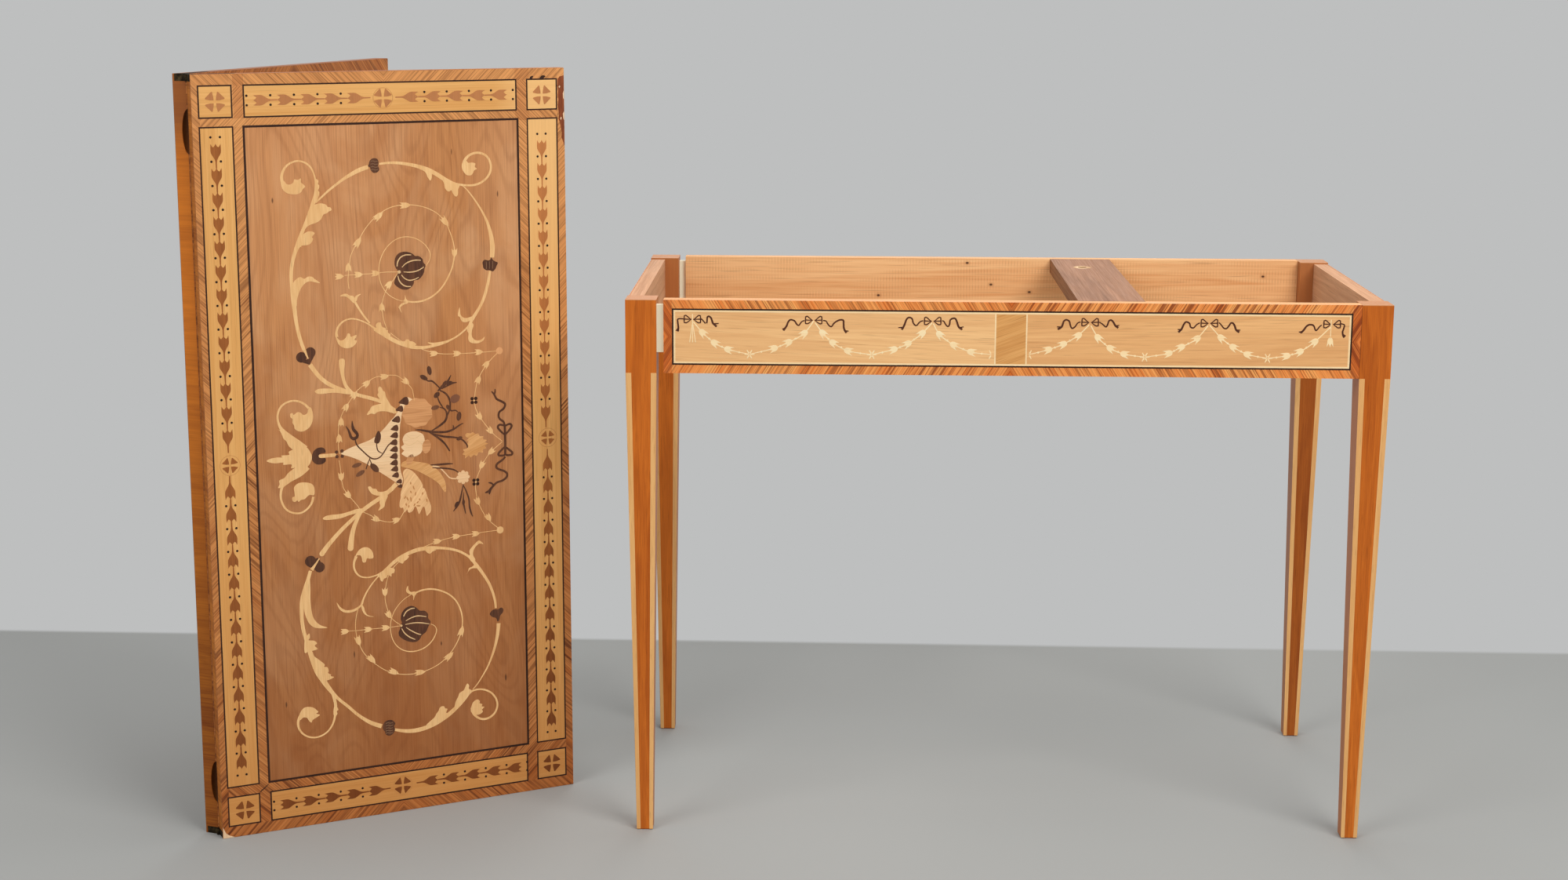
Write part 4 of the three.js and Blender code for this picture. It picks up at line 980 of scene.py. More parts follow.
lower_leaves = [
    [(107, 152), (110, 160), (115, 166), (122, 167), (129, 164.5), (133, 160.5), (135, 158), (132, 156),
     (137, 153.5), (131, 150), (127, 148), (125, 144.5), (122, 147), (119, 152), (114, 153), (110, 150)],
    [(157, 163), (161, 161), (162.5, 157), (160, 155.5), (161, 152), (158, 148.5), (155.5, 152)],
    [(129, 345), (130, 330), (129.5, 315), (130.5, 300), (132.5, 290), (136.5, 283), (142.5, 277.5), (151.5, 273.3),
     (143, 273.5), (134, 275.5), (127.5, 281), (124, 288), (121, 298), (120, 312), (121, 330)],
    [(120, 262), (124, 266.5), (126.5, 268), (127, 262.5), (125, 259), (132.5, 257.5), (136.5, 253.5),
     (133, 250.5), (137, 245.5), (130, 244), (124, 243.5), (119, 243)],
    [(128, 241), (132, 236), (137, 231.5), (142.5, 226.5), (146, 222.5), (145, 219.5), (149.5, 218.5), (151, 213),
     (150, 210.5), (154, 207.5), (153.5, 205.5), (158, 203.5), (150, 200.5), (143, 200.5), (136, 209), (130, 225)],
    [(286, 118), (291, 123), (297, 127.5), (300, 132.5), (303, 136), (305, 140.5), (309, 142), (311.5, 141),
     (312.5, 138.5), (316, 137), (314, 132), (318, 128.5), (308, 121)],
    [(322, 133), (326, 139), (328, 146), (331.5, 152), (334, 157.5), (340, 160.5), (342.5, 165.5),
     (345.5, 169.5), (348, 166), (347.3, 162), (352, 157.5), (343, 149), (332, 139)],
    [(350, 128), (350.3, 134.5), (352.5, 140.5), (356.5, 144), (360.5, 144.5), (363, 141.5), (362.5, 138.8),
     (366.5, 137), (365.5, 134), (369.5, 132.5), (366, 129.5), (367, 126), (362.5, 123), (356, 123)],
    [(192, 366), (196, 373), (201.5, 377.3), (208, 378), (213, 375.3), (216.5, 370), (217.3, 362.5),
     (212.5, 361.5), (208.5, 362.5), (206.5, 357.5), (202.5, 357.8), (201.5, 363.5), (199.5, 367.5), (195, 368)],
    [(358, 340), (353.5, 344), (352, 349), (353, 352.5), (352.5, 357), (356, 362), (361.5, 367), (367, 370.5),
     (373, 364.8), (367, 366), (361, 361.5), (358, 355.5), (358, 350), (361, 344)],
    [(360, 337), (356, 334.5), (351.5, 333), (350, 328.5), (348, 325), (352, 330.5), (357, 332.3), (363, 332)],
    [(222, 338), (225, 334.5), (226.5, 330), (229, 328), (231, 331.5), (235, 333), (237, 336.5), (241.5, 333.5),
     (242, 337.5), (245.5, 338.5), (246, 344), (238, 346), (228, 342)],
    [(252, 354), (254, 351.5), (258, 350), (260, 353), (263, 354.5), (267, 359), (260, 360)],
    [(290, 366), (293, 361), (297, 359.5), (300, 362), (305, 364)],
    [(201, 302), (194, 297), (186, 294), (177, 294.5), (170.5, 299), (165, 306.5), (168, 297.5), (174, 292),
     (182, 290.3), (191, 292), (199, 297.5)],
    [(198, 301), (199.5, 292), (203, 285.5), (209, 281.8), (216, 280.8), (208, 283.5), (204, 288.5), (202, 296)],
    [(275, 305), (268, 305.5), (263, 308.5), (261.5, 313), (264.5, 318.5), (265, 312.5), (268.5, 309),
     (274, 309)],
    [(270, 306), (271.5, 302), (271.5, 297), (273.5, 303), (276, 306)],
]
let_in("upper_scroll", strokes(upper_stems) + leaf_shapes(upper_leaves), scroll_wood)
let_in("lower_scroll", strokes(lower_stems) + leaf_shapes(lower_leaves), scroll_wood)

# CHAINS ACROSS THE FIELD
# Fine strings with small husks on them, each husk sawn from pale wood, with its mouth
# turned along the string, and small dark flowers where two strings meet.
chain_strings = [
    [(262, 745.6, .9), (245, 746.3, .8), (228, 745.3, .8), (210, 745.3, .8), (190, 745, .7)],
    [(262, 744, .9), (257, 737, .9), (251, 729, .8), (246, 723, .8), (242, 714, .8), (239.5, 704, .8),
     (239.8, 692, .8), (242, 680, .8), (245.5, 670, .9)],
    [(250, 665, .8), (257, 659, .7), (266, 652, .7)],
    [(285, 644, .9), (296, 639, .9), (308, 634.8, .9), (322, 632, .8), (340, 631, .8), (360, 630.5, .8),
     (380, 630.5, .8), (399, 630.8, .8)],
    [(400, 629, .9), (391, 621.5, .9), (383, 613, .9), (376, 604, .9), (370, 593, .9), (366.5, 581, .9),
     (365, 569, .9), (365.3, 557, .9), (369, 547, .9), (375, 537, .9), (383, 526, .9), (392, 515.5, .9),
     (403, 506, .9)],
    [(403, 505, .9), (394, 498.5, .9), (386, 492, .9), (379, 484, .9), (373, 474, .9), (368, 464, .9),
     (364, 453, .9), (363.5, 443, .9), (366, 427, .9), (372, 412, .9), (381, 398, .9), (396, 384, .9)],
    [(252, 263.5, .9), (240, 263.2, .8), (225, 263.6, .8), (208, 264, .8), (192, 264.3, .7), (180, 265, .7)],
    [(252, 265, .9), (244, 271.5, .9), (238, 279, .8), (234.5, 290, .8), (232, 302, .8), (232.5, 315, .8),
     (235, 328, .8), (239, 338, .8), (246, 347, .9), (253, 353, .9)],
    [(283, 368, .9), (294, 371.5, .9), (307, 375.3, .8), (320, 377.5, .8), (335, 379.3, .8), (355, 380.5, .8),
     (375, 381.5, .8), (393, 382, .8)],
    [(176.5, 508, .8), (174.5, 515, .8), (175, 540, .8), (180, 560, .8), (191, 577, .8), (197, 585, .8),
     (203, 592, .8), (224, 606, .8), (239, 608.5, .8), (250, 608.5, .8), (260, 605.5, .8), (276, 590, .8),
     (279, 580, .8), (280, 572, .8)],
    [(174.5, 500, .8), (176, 490, .8), (178, 468, .8), (182, 457, .8), (197, 437, .8), (203, 428, .8),
     (212, 423, .8), (230, 412, .8), (245, 409, .8), (255, 412, .8), (262, 422, .8)],
]
left, up, down = 180, 90, 270
long_husks = [
    (209, 787, 235), (238, 820.3, 218), (274.5, 833, 181), (328.5, 809.5, 127), (193, 250, 108), (210.5, 222, 132),
    (241, 200, 152), (278, 194.5, left), (320, 212, 218), (338.5, 245, 250),
]
chain_husks = [
    (231.5, 745.5, left), (208.5, 745, left), (183, 744, left), (249.5, 729.5, 233), (239, 700, down),
    (308.9, 633.5, left), (341, 631.2, left), (372, 631, left), (195.5, 755, down), (341, 767, up),
    (382.5, 613.5, 230), (370.5, 593, 243), (371, 543, 120), (386, 522, 130),
    (387, 493, 38), (373, 475.5, 60), (366, 425.5, 112), (381, 401.3, 123),
    (231.5, 263.3, left), (207, 264, left), (175, 265, left), (236.5, 281, 120), (232, 313, up),
    (307, 375.5, left), (334, 379.5, left), (362, 380.5, left),
    (175.7, 529, down), (179, 551, 265), (186.3, 570.3, 235), (198, 585.5, 228), (215.3, 599.8, 215),
    (239.5, 607.3, 183), (268.8, 598.8, 140), (176.8, 477.5, up), (185.3, 452, 125), (222.5, 415.3, 147),
    (250.5, 410.8, 195),
]
strings = strokes(chain_strings)
strings += [husk(x, y, towards, 1.15, 0.88) for x, y, towards in chain_husks]
strings += [husk(x, y, towards, 1.5, 0.68) for x, y, towards in long_husks]
strings.append(disc_shape(397.5, 382, 5, 18))
let_in("show_face_chains", strings, scroll_wood, 0.02)
flower_places, petal_reach, petal_radius = ((363.8, 565.4), (364, 452.6)), 2.6, 2.4
small_flowers = [disc_shape(x + sx * petal_reach, y + sy * petal_reach, petal_radius, 12)
                 for x, y in flower_places for sx in (-1, 1) for sy in (-1, 1)]
let_in("chain_flowers", small_flowers, leaf_dark, 0.04)
let_in("chain_flower_eyes", [disc_shape(x, y, 1.3, 8) for x, y in flower_places], scroll_wood, 0.12)
amber_wood = timber("amber_disc", (216, 152, 98), (238, 178, 124), upright_leaf)
let_in("chain_end_disc", [disc_shape(401.5, 630.8, 4.8, 20)], amber_wood, 0.03)

# KNOPS AND SEED PODS
# Dark knops where the stems part, and a ribbed seed pod inside each run of scrolls,
# with their ribs sawn from paler wood and let into the dark piece.
knop_dark = timber("knop_dark", (64, 38, 28), (112, 70, 46), upright_leaf, centre=hinge_line,
                   streaks=(26, 700), figure=(12, 70))
rib_wood = timber("rib_wood", (214, 170, 118), (246, 208, 154), upright_leaf)
rib_shade = timber("rib_shade", (120, 88, 64), (150, 112, 82), upright_leaf)
knops = [
    [(227, 888), (228.5, 893), (233, 896), (238.5, 895), (240.3, 890), (239.5, 886), (241, 881.5), (238.5, 877.8),
     (233, 877), (229.5, 880.5), (228.5, 884), (226, 886)],
    [(380, 752.5), (383, 755.5), (388, 754.3), (391, 755.5), (392.5, 758.3), (394.3, 755.3), (397, 753),
     (401.5, 750.7), (399.7, 746.5), (397.5, 742), (394, 739.3), (390, 741), (385, 741.3), (381, 744.5),
     (380.5, 748)],
    [(263, 746), (259.5, 751), (258, 757), (259, 764), (263, 769.5), (269, 771.8), (276, 771.5), (282.5, 769),
     (286.5, 765.5), (291, 765.3), (296.5, 761), (297.5, 756.5), (300.5, 752.5), (299, 748), (298, 743),
     (294.5, 737.5), (290, 734), (284.3, 733), (283.5, 729), (280.5, 724.8), (275, 721.7), (268, 722),
     (261.5, 725.5), (257, 730.5), (258, 736), (260.5, 741)],
    [(224, 127), (227, 131.5), (233, 133), (238, 131.5), (241, 127), (239.5, 123), (240.5, 118.5), (238, 113),
     (232.5, 110.5), (227.5, 113), (226, 117.5), (223.5, 121.5)],
    [(380, 264.5), (383.5, 269.5), (388, 270.5), (392, 270), (397, 272), (400, 269), (399, 264.5), (395, 260.5),
     (393.5, 254.5), (391, 253), (389, 258), (384, 260)],
    [(252, 263), (254.5, 268), (253, 273), (254.5, 280.5), (259, 286.5), (266, 289.5), (272, 288.5),
     (276.5, 285), (280, 281.5), (287, 280.5), (291.5, 275.5), (291.5, 269.5), (295, 264), (291.5, 257.5),
     (288, 250.5), (282, 246.5), (279, 241.5), (273, 238.3), (265, 239.5), (257.5, 243), (251, 248.5),
     (249.5, 254), (251.5, 259)],
]
ribs = [
    [(261.3, 753, .9), (262.3, 759, 1.1), (266.5, 764.8, 1.1), (273, 767.5, 1), (281, 767.3, .7)],
    [(268, 751.5, .6), (273, 756, .9), (280, 759, 1), (287, 760, 1), (294, 759.5, .6)],
    [(270, 745.3, .6), (277, 744.5, .9), (284, 744.8, 1), (291, 746.5, .9), (298, 750.3, .6)],
    [(267, 741.5, .6), (271, 736.8, .9), (277, 733.8, 1), (284, 734.3, .9), (290.5, 737, .6)],
    [(262, 740.5, .7), (264, 733.5, 1), (268.5, 728.3, 1.1), (274, 725.7, 1), (279.5, 725.5, .7)],
    [(257, 276, .9), (260.5, 282, 1.1), (267, 285.5, 1), (273, 285.8, .7)],
    [(260, 269.5, .6), (268, 273, .9), (277, 274.5, 1), (289, 272, .6)],
    [(259, 264.5, .6), (270, 265.3, .9), (281, 264.3, 1), (293, 261.2, .6)],
    [(260, 260.5, .6), (267, 255, .9), (276, 249.5, .9), (281, 247.8, .6)],
    [(254, 259.5, .7), (257.5, 253, 1), (264.5, 246.3, 1), (272.5, 241.8, .7)],
]


def widened(rows, share):
    return [[(u, v, width * share) for u, v, width in knots] for knots in rows]


rib_width = 0.9
small_ribs = [[(u + du, v + dv, rib_width) for du, dv in ((-5, 0), (-2, 0.6), (1, -0.4), (4.5, 0))]
              for u, v in ((234.5, 892), (234.5, 888.4), (234.5, 884.6), (234.5, 881), (233, 128.6), (233, 125),
                           (233, 121.4), (232.5, 117.8), (232.5, 114.4))]
small_ribs += [[(u, 743, rib_width), (u + 0.3, 748, rib_width), (u, 753, rib_width)] for u in (385, 389.5, 394)]
knop_pairs = ((129, 641, 7), (141, 646.5, 7), (131.5, 367, 7.5), (143.5, 357.5, 7))
knop_shapes = leaf_shapes(knops) + [disc_shape(x, y, r, 22) for x, y, r in knop_pairs]
knop_shapes += [[(129, 634.5), (141, 640), (147, 643), (139.5, 630.5)],
                [(127, 361), (138, 354), (148.5, 360), (141, 371)]]
let_in("knops_and_pods", knop_shapes, knop_dark, 0.04)
pod_eyes = [disc_shape(264, 745.5, 2.2, 12), disc_shape(253.5, 263.5, 1.6, 12)]
let_in("pod_ribs", strokes(widened(ribs, 1.5)) + pod_eyes, rib_wood, 0.12)
let_in("knop_ribs", strokes(small_ribs), rib_shade, 0.12)
between_knops = [[(133.5, 650, 4), (136, 643, 2.2), (139.5, 634, 1.2)],
                 [(132.5, 355, 5), (138, 362, 2.6), (143.5, 369.5, 1.4)]]
let_in("knop_partings", strokes(between_knops), scroll_wood, 0.12)

# VASE AND FLOWERS
# A tall vase lies across the middle of the field between two pairs of curling arms, with
# flowers and leaves in woods of several colours, some of them darkened at their edges.
arms = [
    [(140, 630.5, 6), (146, 621.5, 5.6), (153, 612.5, 5.4), (162, 604.5, 5.2), (172, 598.5, 5), (183, 593.5, 4.8),
     (192, 589.5, 4.6), (200, 586.5, 4.6), (210, 583, 4.6), (220, 579.8, 4.8), (230, 576, 4.6), (239, 571.5, 5),
     (247, 564.5, 6), (254, 558.5, 7)],
    [(200, 426, 5), (208, 431, 5.5), (216, 436, 5.5), (226, 441.5, 5.5), (236, 447.5, 5.5), (245, 454, 6),
     (252, 460.5, 6)],
    [(200, 426, 5), (189, 417, 5), (177, 407, 5.2), (166, 396.5, 5.5), (156, 386, 6), (147.3, 375.5, 7)],
    [(203, 428, 4), (196, 416, 5), (191, 404, 6), (188, 391, 7.2), (186.5, 379, 8)],
    [(128, 517, 14), (119, 525.5, 13), (110, 534.5, 10), (102.5, 543.5, 6), (97.5, 551, 3.6), (94.8, 560, 2.8),
     (95.2, 569, 2.6), (99, 577, 2.5), (105.5, 582, 2.4), (114, 584.3, 2.4), (122.5, 583.3, 2.5),
     (130.5, 579, 2.8), (136.5, 572.8, 3.4)],
    [(130, 497, 14), (121, 489, 12.5), (111, 482.5, 9), (102.5, 477, 6), (97.3, 471, 3.8), (95, 462, 3),
     (95.5, 453, 2.8), (99, 444, 2.6), (105, 437.5, 2.5), (113.5, 434, 2.4), (122, 434, 2.4), (130, 438.5, 2.6),
     (136, 446, 2.9), (138.3, 454, 3.4)],
    [(147, 507.5, 4.6), (160, 507.5, 4.8), (171, 507.5, 4.6)],
]
arm_leaves = [
    [(145, 594.5), (150, 597.3), (156, 597.6), (166, 596.8), (176, 595), (186, 591), (196, 587), (186, 588),
     (176, 590.3), (166, 591), (156, 590.5), (149, 591.2)],
    [(179, 633.5), (182, 635.5), (186.3, 634), (186.5, 628), (185.3, 618), (186, 609), (189, 600), (195, 592),
     (199, 587.5), (193, 587.5), (187, 594.5), (183, 603.5), (180.8, 614), (179, 624)],
    [(236, 571), (233, 577), (229.5, 583), (231, 586.5), (230.5, 590.5), (232.5, 594.5), (235.5, 592.5),
     (237.3, 588.5), (240, 586.5), (241, 580.5), (244, 574.5), (248.5, 566.5), (253, 561), (244, 565)],
    [(256, 556.5), (249, 557.5), (242, 560), (234, 561), (228, 560), (225, 557.8), (220, 559), (215.5, 557.3),
     (214.5, 559), (218.5, 564), (221.5, 568.5), (228, 570.3), (236, 571), (245, 567), (252, 562)],
    [(150, 423), (154, 426), (162, 427), (174, 427), (186, 429), (197, 431.5), (205, 431), (198, 426.5),
     (186, 424), (174, 421), (162, 420.5), (154, 420.8)],
    [(213, 460), (216.5, 460.3), (219, 457.3), (224, 456.3), (226.5, 452.5), (233, 451.5), (240, 453.5),
     (247, 458), (252, 462), (246, 453.5), (238, 447.5), (228, 446.5), (219, 449.5), (214.5, 455)],
    [(226, 426.5), (229, 432.5), (228, 438), (233, 443.5), (240, 446), (236, 437), (234.5, 431), (230, 428)],
    [(139, 574), (141.3, 567), (141.6, 559), (139, 551), (134, 545.5), (127, 542.6), (121, 543.7), (116.8, 547),
     (116, 551.5), (113.8, 555.5), (114.3, 560), (111.6, 563), (111.3, 567), (114.3, 568.3), (116, 565.6),
     (118.5, 567.3), (122, 569), (126, 567.3), (128, 565), (131, 564.6), (134.5, 567), (135.3, 571)],
    [(93, 548.5), (96.5, 546.5), (99.5, 540.5), (101.5, 535), (105, 531.5), (107, 526.5), (110, 522.5),
     (115, 519.5), (120, 530), (108, 542)],
    [(78, 507.5), (83, 510), (92, 511), (98.5, 510.5), (98, 513), (108, 513), (107.5, 517), (113, 519.5),
     (122, 523), (131, 521.5), (136, 515), (138.3, 508), (136.5, 501), (132, 495), (124, 490.5), (118, 492.5),
     (117.5, 495.5), (110, 494.8), (110.5, 500), (100, 500.4), (99.8, 503.4), (90, 503.4), (83, 504.8)],
    [(139.3, 456), (140.3, 463.5), (138.3, 470), (132.5, 473.3), (124, 474.6), (117.5, 473.3), (113, 469),
     (113.3, 462.5), (113.3, 456.8), (110.3, 455.8), (110.3, 451), (113.5, 449.2), (116.5, 451), (118.5, 449),
     (122, 451.3), (126.5, 451.8), (130.5, 455.3), (134, 457)],
    [(92, 470), (94, 475), (93.8, 480), (101, 483), (105, 488), (111, 492.5), (118, 495.5), (124, 488),
     (112, 479), (101, 472)],
]
rounded_ends = [disc_shape(186.5, 379, 4, 16), disc_shape(147.3, 375.5, 3.5, 16)]
let_in("curling_arms", strokes(arms) + leaf_shapes(arm_leaves) + rounded_ends, scroll_wood)
vase_outline = [(177.5, 508.5), (190, 515), (204, 519.3), (217, 523.3), (228, 529.5), (238, 538), (246, 546.5),
                (252, 552.3), (256, 558), (259.5, 566), (263, 573), (268, 577.3), (274, 576), (279.3, 571.6),
                (273.5, 570.5), (267.5, 565.5), (263, 557.5), (261.3, 549), (259.5, 540), (258.3, 525), (258, 505),
                (258.3, 490), (258.5, 478), (261.5, 466), (259, 457.5), (255, 459), (250, 463.5), (240, 471.3),
                (228, 480), (215, 489.5), (200, 498.5), (188, 504)]
pale_vase = timber("pale_vase", (236, 188, 136), (252, 214, 168), level_leaf)
let_in("vase", [leaf_shape(vase_outline)], pale_vase)
half_moons = [(267.5, 572, 5), (261, 562, 3.8), (256, 548, 4.2), (253.6, 536.5, 3.9), (252.8, 526.8, 3.9),
              (251.6, 517.2, 3.9), (252, 507.8, 3.9), (251.5, 498.5, 3.9), (251.5, 489.5, 3.9), (252, 481, 3.7),
              (253, 472.5, 3.5), (257.6, 463.5, 2.9), (258.5, 457, 2.4)]
moon = [(-1.5, -0.1), (-0.8, 0.45), (-0.3, 0.8), (0.3, 1), (0.8, 0.92), (1.05, 0.35), (1.05, -0.35), (0.8, -0.92),
        (0.3, -1), (-0.3, -0.72), (-0.9, -0.5)]
vase_marks = [leaf_shape(turned_about(moon, x - 1.2, y, 0.1, size * 1.1), 2) for x, y, size in half_moons]
dark_sprigs = [
    [(197.3, 528, 1), (199.3, 518.7, 1.7), (207.3, 509.3, 1.7), (216.7, 500, 1.8), (223.3, 497.3, 1.7),
     (230, 498.7, 1.6), (235.3, 504, 1.6), (240.7, 512, 1.6), (244.7, 516, 1.6), (250, 518, .8)],
    [(235, 503.5, .7), (228.5, 507.5, 1.4), (226.6, 514, 1.4), (226.6, 520, 1.2)],
    [(217.5, 500, .7), (214, 493, 1.4), (211, 484.5, 1.2)],
    [(216, 499, .7), (218, 493, 1.4), (220, 488, 1.2)],
]
dark_leaves = [
    [(224, 519), (223.5, 523), (226, 530), (229.5, 535), (232.5, 530), (232, 523), (229, 518)],
    [(194.5, 525), (190.5, 528.5), (189, 533), (187.8, 538), (185, 545.3), (188.6, 541.5), (191.6, 536),
     (193.4, 530.5), (196.6, 529.3), (198.8, 531.6), (196.8, 534.5), (193.5, 539), (192.8, 544.5), (194, 552),
     (195.6, 545.5), (197.6, 540), (201, 536), (202.6, 531), (200.6, 527), (197.6, 525.5)],
    # the ring of the finial
    [(156.3, 511.8), (156.6, 515), (153.5, 518.8), (146.5, 518.9), (141, 515.2), (138.6, 509.5), (138.8, 502.5),
     (144, 497.4), (151.5, 496.9), (156.4, 500), (156.3, 504.3), (151.5, 504.8), (148, 506), (147.3, 507.9),
     (148, 509.8), (151.5, 511.2)],
]
cross_flower = [disc_shape(x, y, 2.3, 10) for x, y in ((171.5, 511.2), (172, 505), (179, 512), (179.2, 505))]
ornament = vase_marks + strokes(dark_sprigs) + leaf_shapes(dark_leaves) + cross_flower
let_in("vase_ornament", ornament, knop_dark, 0.1)


def paler_leaves(place, wood, grain):
    """The leaves among the flowers are paler than the two under the vase."""
    return ((place.parts()[2] < -0.32) * 0.35).mix(wood, colour(160, 104, 76))


grey_leaf_wood = timber("grey_leaf_wood", (86, 52, 36), (136, 88, 58), upright_leaf, centre=hinge_line,
                        streaks=(26, 700), tint=paler_leaves)


def oval(x, y, long, wide, angle):
    """A leaf with two pointed ends, its length at an angle in degrees."""
    shape = [(long / 2, 0), (long * 0.28, wide * 0.42), (0, wide / 2), (-long * 0.3, wide * 0.4), (-long / 2, 0),
             (-long * 0.3, -wide * 0.4), (0, -wide / 2), (long * 0.28, -wide * 0.42)]
    return leaf_shape(turned_about(shape, x, y, math.radians(angle)), 2)


grey_leaves = [oval(198.5, 491, 14, 5.5, 14), oval(203, 479.5, 14, 6, 30), oval(309, 560, 12, 6, 10),
               oval(337, 570, 15, 11, 25)]
let_in("grey_leaves", grey_leaves, grey_leaf_wood, 0.08)

tan_bloom_wood = timber("tan_bloom_wood", (186, 124, 74), (236, 173, 117), level_leaf,
                        streaks=(10, 460), figure=(3, 60))
bloom_petals = 9
bloom_turns = [(math.tau * k / (2 * bloom_petals), 1.6 * (k % 2)) for k in range(2 * bloom_petals)]
tan_bloom = [(284 + (20 + out) * math.cos(turn), 555 + (19 + out) * math.sin(turn)) for turn, out in bloom_turns]
tan_shapes = [leaf_shape(tan_bloom), oval(272, 492, 16, 9, 60), oval(295.5, 508, 20, 12, 80)]
let_in("tan_bloom", tan_shapes, tan_bloom_wood, 0.02)
cream_bloom = [(266, 527), (272, 529.5), (280, 530), (287, 527.5), (291.5, 524), (293, 517), (292.5, 510),
               (290, 505.5), (288, 500.5), (284, 497.5), (278, 495.5), (272, 495), (267, 496), (262.5, 499),
               (260.5, 500.8), (262, 503), (264, 505), (261, 508), (260.5, 511), (264, 513), (263, 517), (262.5, 521)]
let_in("cream_bloom", [leaf_shape(cream_bloom)], pale_vase, 0.06)
bloom_edges = [[(264, 516, .4), (270, 512, .6), (277, 513, .6), (283, 517, .4)],
               [(268, 526, .4), (274, 521, .6), (281, 521, .6), (288, 525, .4)],
               [(283, 517, .4), (288, 513, .6), (290, 507, .4)]]
let_in("bloom_shading", strokes(bloom_edges), rib_wood, 0.12)

pale_leaves = [
    [(267, 480), (271, 478.5), (276, 475), (281, 469), (286, 461.5), (288.5, 456), (289, 451.5), (291, 450.5),
     (293, 446), (295, 439), (298, 431), (299.8, 424), (299, 418), (296, 414.5), (293.5, 412.4), (292, 417),
     (291, 423),
     (289.5, 425.5), (287.5, 424.5), (286, 421.5), (284.5, 418.5), (282.7, 416), (281.3, 418.5), (280, 423),
     (278.5, 426.5), (276.5, 426.5), (275, 423), (272.5, 420.3), (269.5, 419.3), (267.3, 420.3), (266.3, 423.8),
     (264.5, 422), (262.5, 420.3), (261.3, 423), (260.5, 427), (257.5, 426.8), (255.6, 429.5), (256.2, 436),
     (257.5, 441), (257.8, 447), (259.5, 453), (261, 457), (262.3, 462), (262.3, 468), (261.5, 474), (263, 478)],
    [(259.5, 484), (262, 489.5), (270, 491), (280, 488.5), (289, 486.5), (298, 483.5), (309, 475.5), (316, 466.5),
     (321, 455), (321, 443), (317, 446), (312, 454.5), (304, 461.5), (292, 469.5), (280, 476.5), (269, 480.5)],
]
shaded_leaf_wood = timber("shaded_leaf_wood", (222, 167, 112), (255, 207, 150), (0, -0.9, upper_turn),
                          streaks=(20, 520), figure=(8, 60), contrast=1.2)
ragged_bloom = [(350, 519), (353, 521.5), (358, 520.5), (361, 522), (365, 519), (369, 519.5), (371, 515.5),
                (376, 515), (375.5, 511), (381, 509.5), (378, 506.5), (383, 504.5), (378, 502), (380, 498),
                (375, 497), (375, 492.5), (369, 493.5), (366, 488.5), (362, 490.5), (357, 487), (355, 490.5),
                (349, 486.5), (349.5, 491),
                (345.5, 492.5), (349, 496), (346.5, 499), (352, 500), (355, 503.5), (352.5, 506), (355, 509),
                (352, 511.5), (355.5, 514), (351.5, 516)]
let_in("broad_leaves", [leaf_shape(pale_leaves[0])], shaded_leaf_wood, 0.04)
yellow_wood = timber("yellow_bloom_wood", (206, 143, 80), (238, 183, 122), (0, -0.4, upper_turn),
                     streaks=(20, 520), figure=(8, 60), contrast=1.2)
let_in("ragged_bloom", [leaf_shape(pale_leaves[1]), ragged_bloom], yellow_wood, 0.05)
leaf_flecks = [oval(x, y, long, 1.7, angle) for x, y, long, angle in (
    (276, 453, 6, 106), (278.3, 444.5, 5.5, 80), (272, 447.5, 4, 110), (271.8, 437.5, 7, 98), (263.8, 441, 5, 55),
    (267, 438.5, 6, 112), (284, 436, 3.5, 110), (281, 432.5, 4, 35), (282, 427.5, 6, 172), (272, 459.5, 3.4, 90),
    (268.5, 428, 4, 80), (294, 434, 5, 100), (288, 444, 4, 75), (265, 431, 4, 100), (276.5, 429.5, 4.5, 60))]
let_in("leaf_flecks", leaf_flecks, joint_line, 0.13)
pale_stem = [(303, 480, 2), (312, 478, 1.8), (320, 470, 1.6), (327, 462, 1.6), (335, 460, 1.6), (341, 461, 1)]
flower_petal = [(1.5, 0), (4, 2.2), (8, 2.6), (9.6, 0), (8, -2.6), (4, -2.2)]
eight_petals = [leaf_shape(turned_about(flower_petal, 346, 461, math.tau * k / 8), 2) for k in range(8)]
flower_shapes = [stroke(pale_stem)] + eight_petals + [disc_shape(345.4, 460, 4, 16)]
let_in("pale_flower", flower_shapes, pale_vase, 0.05)
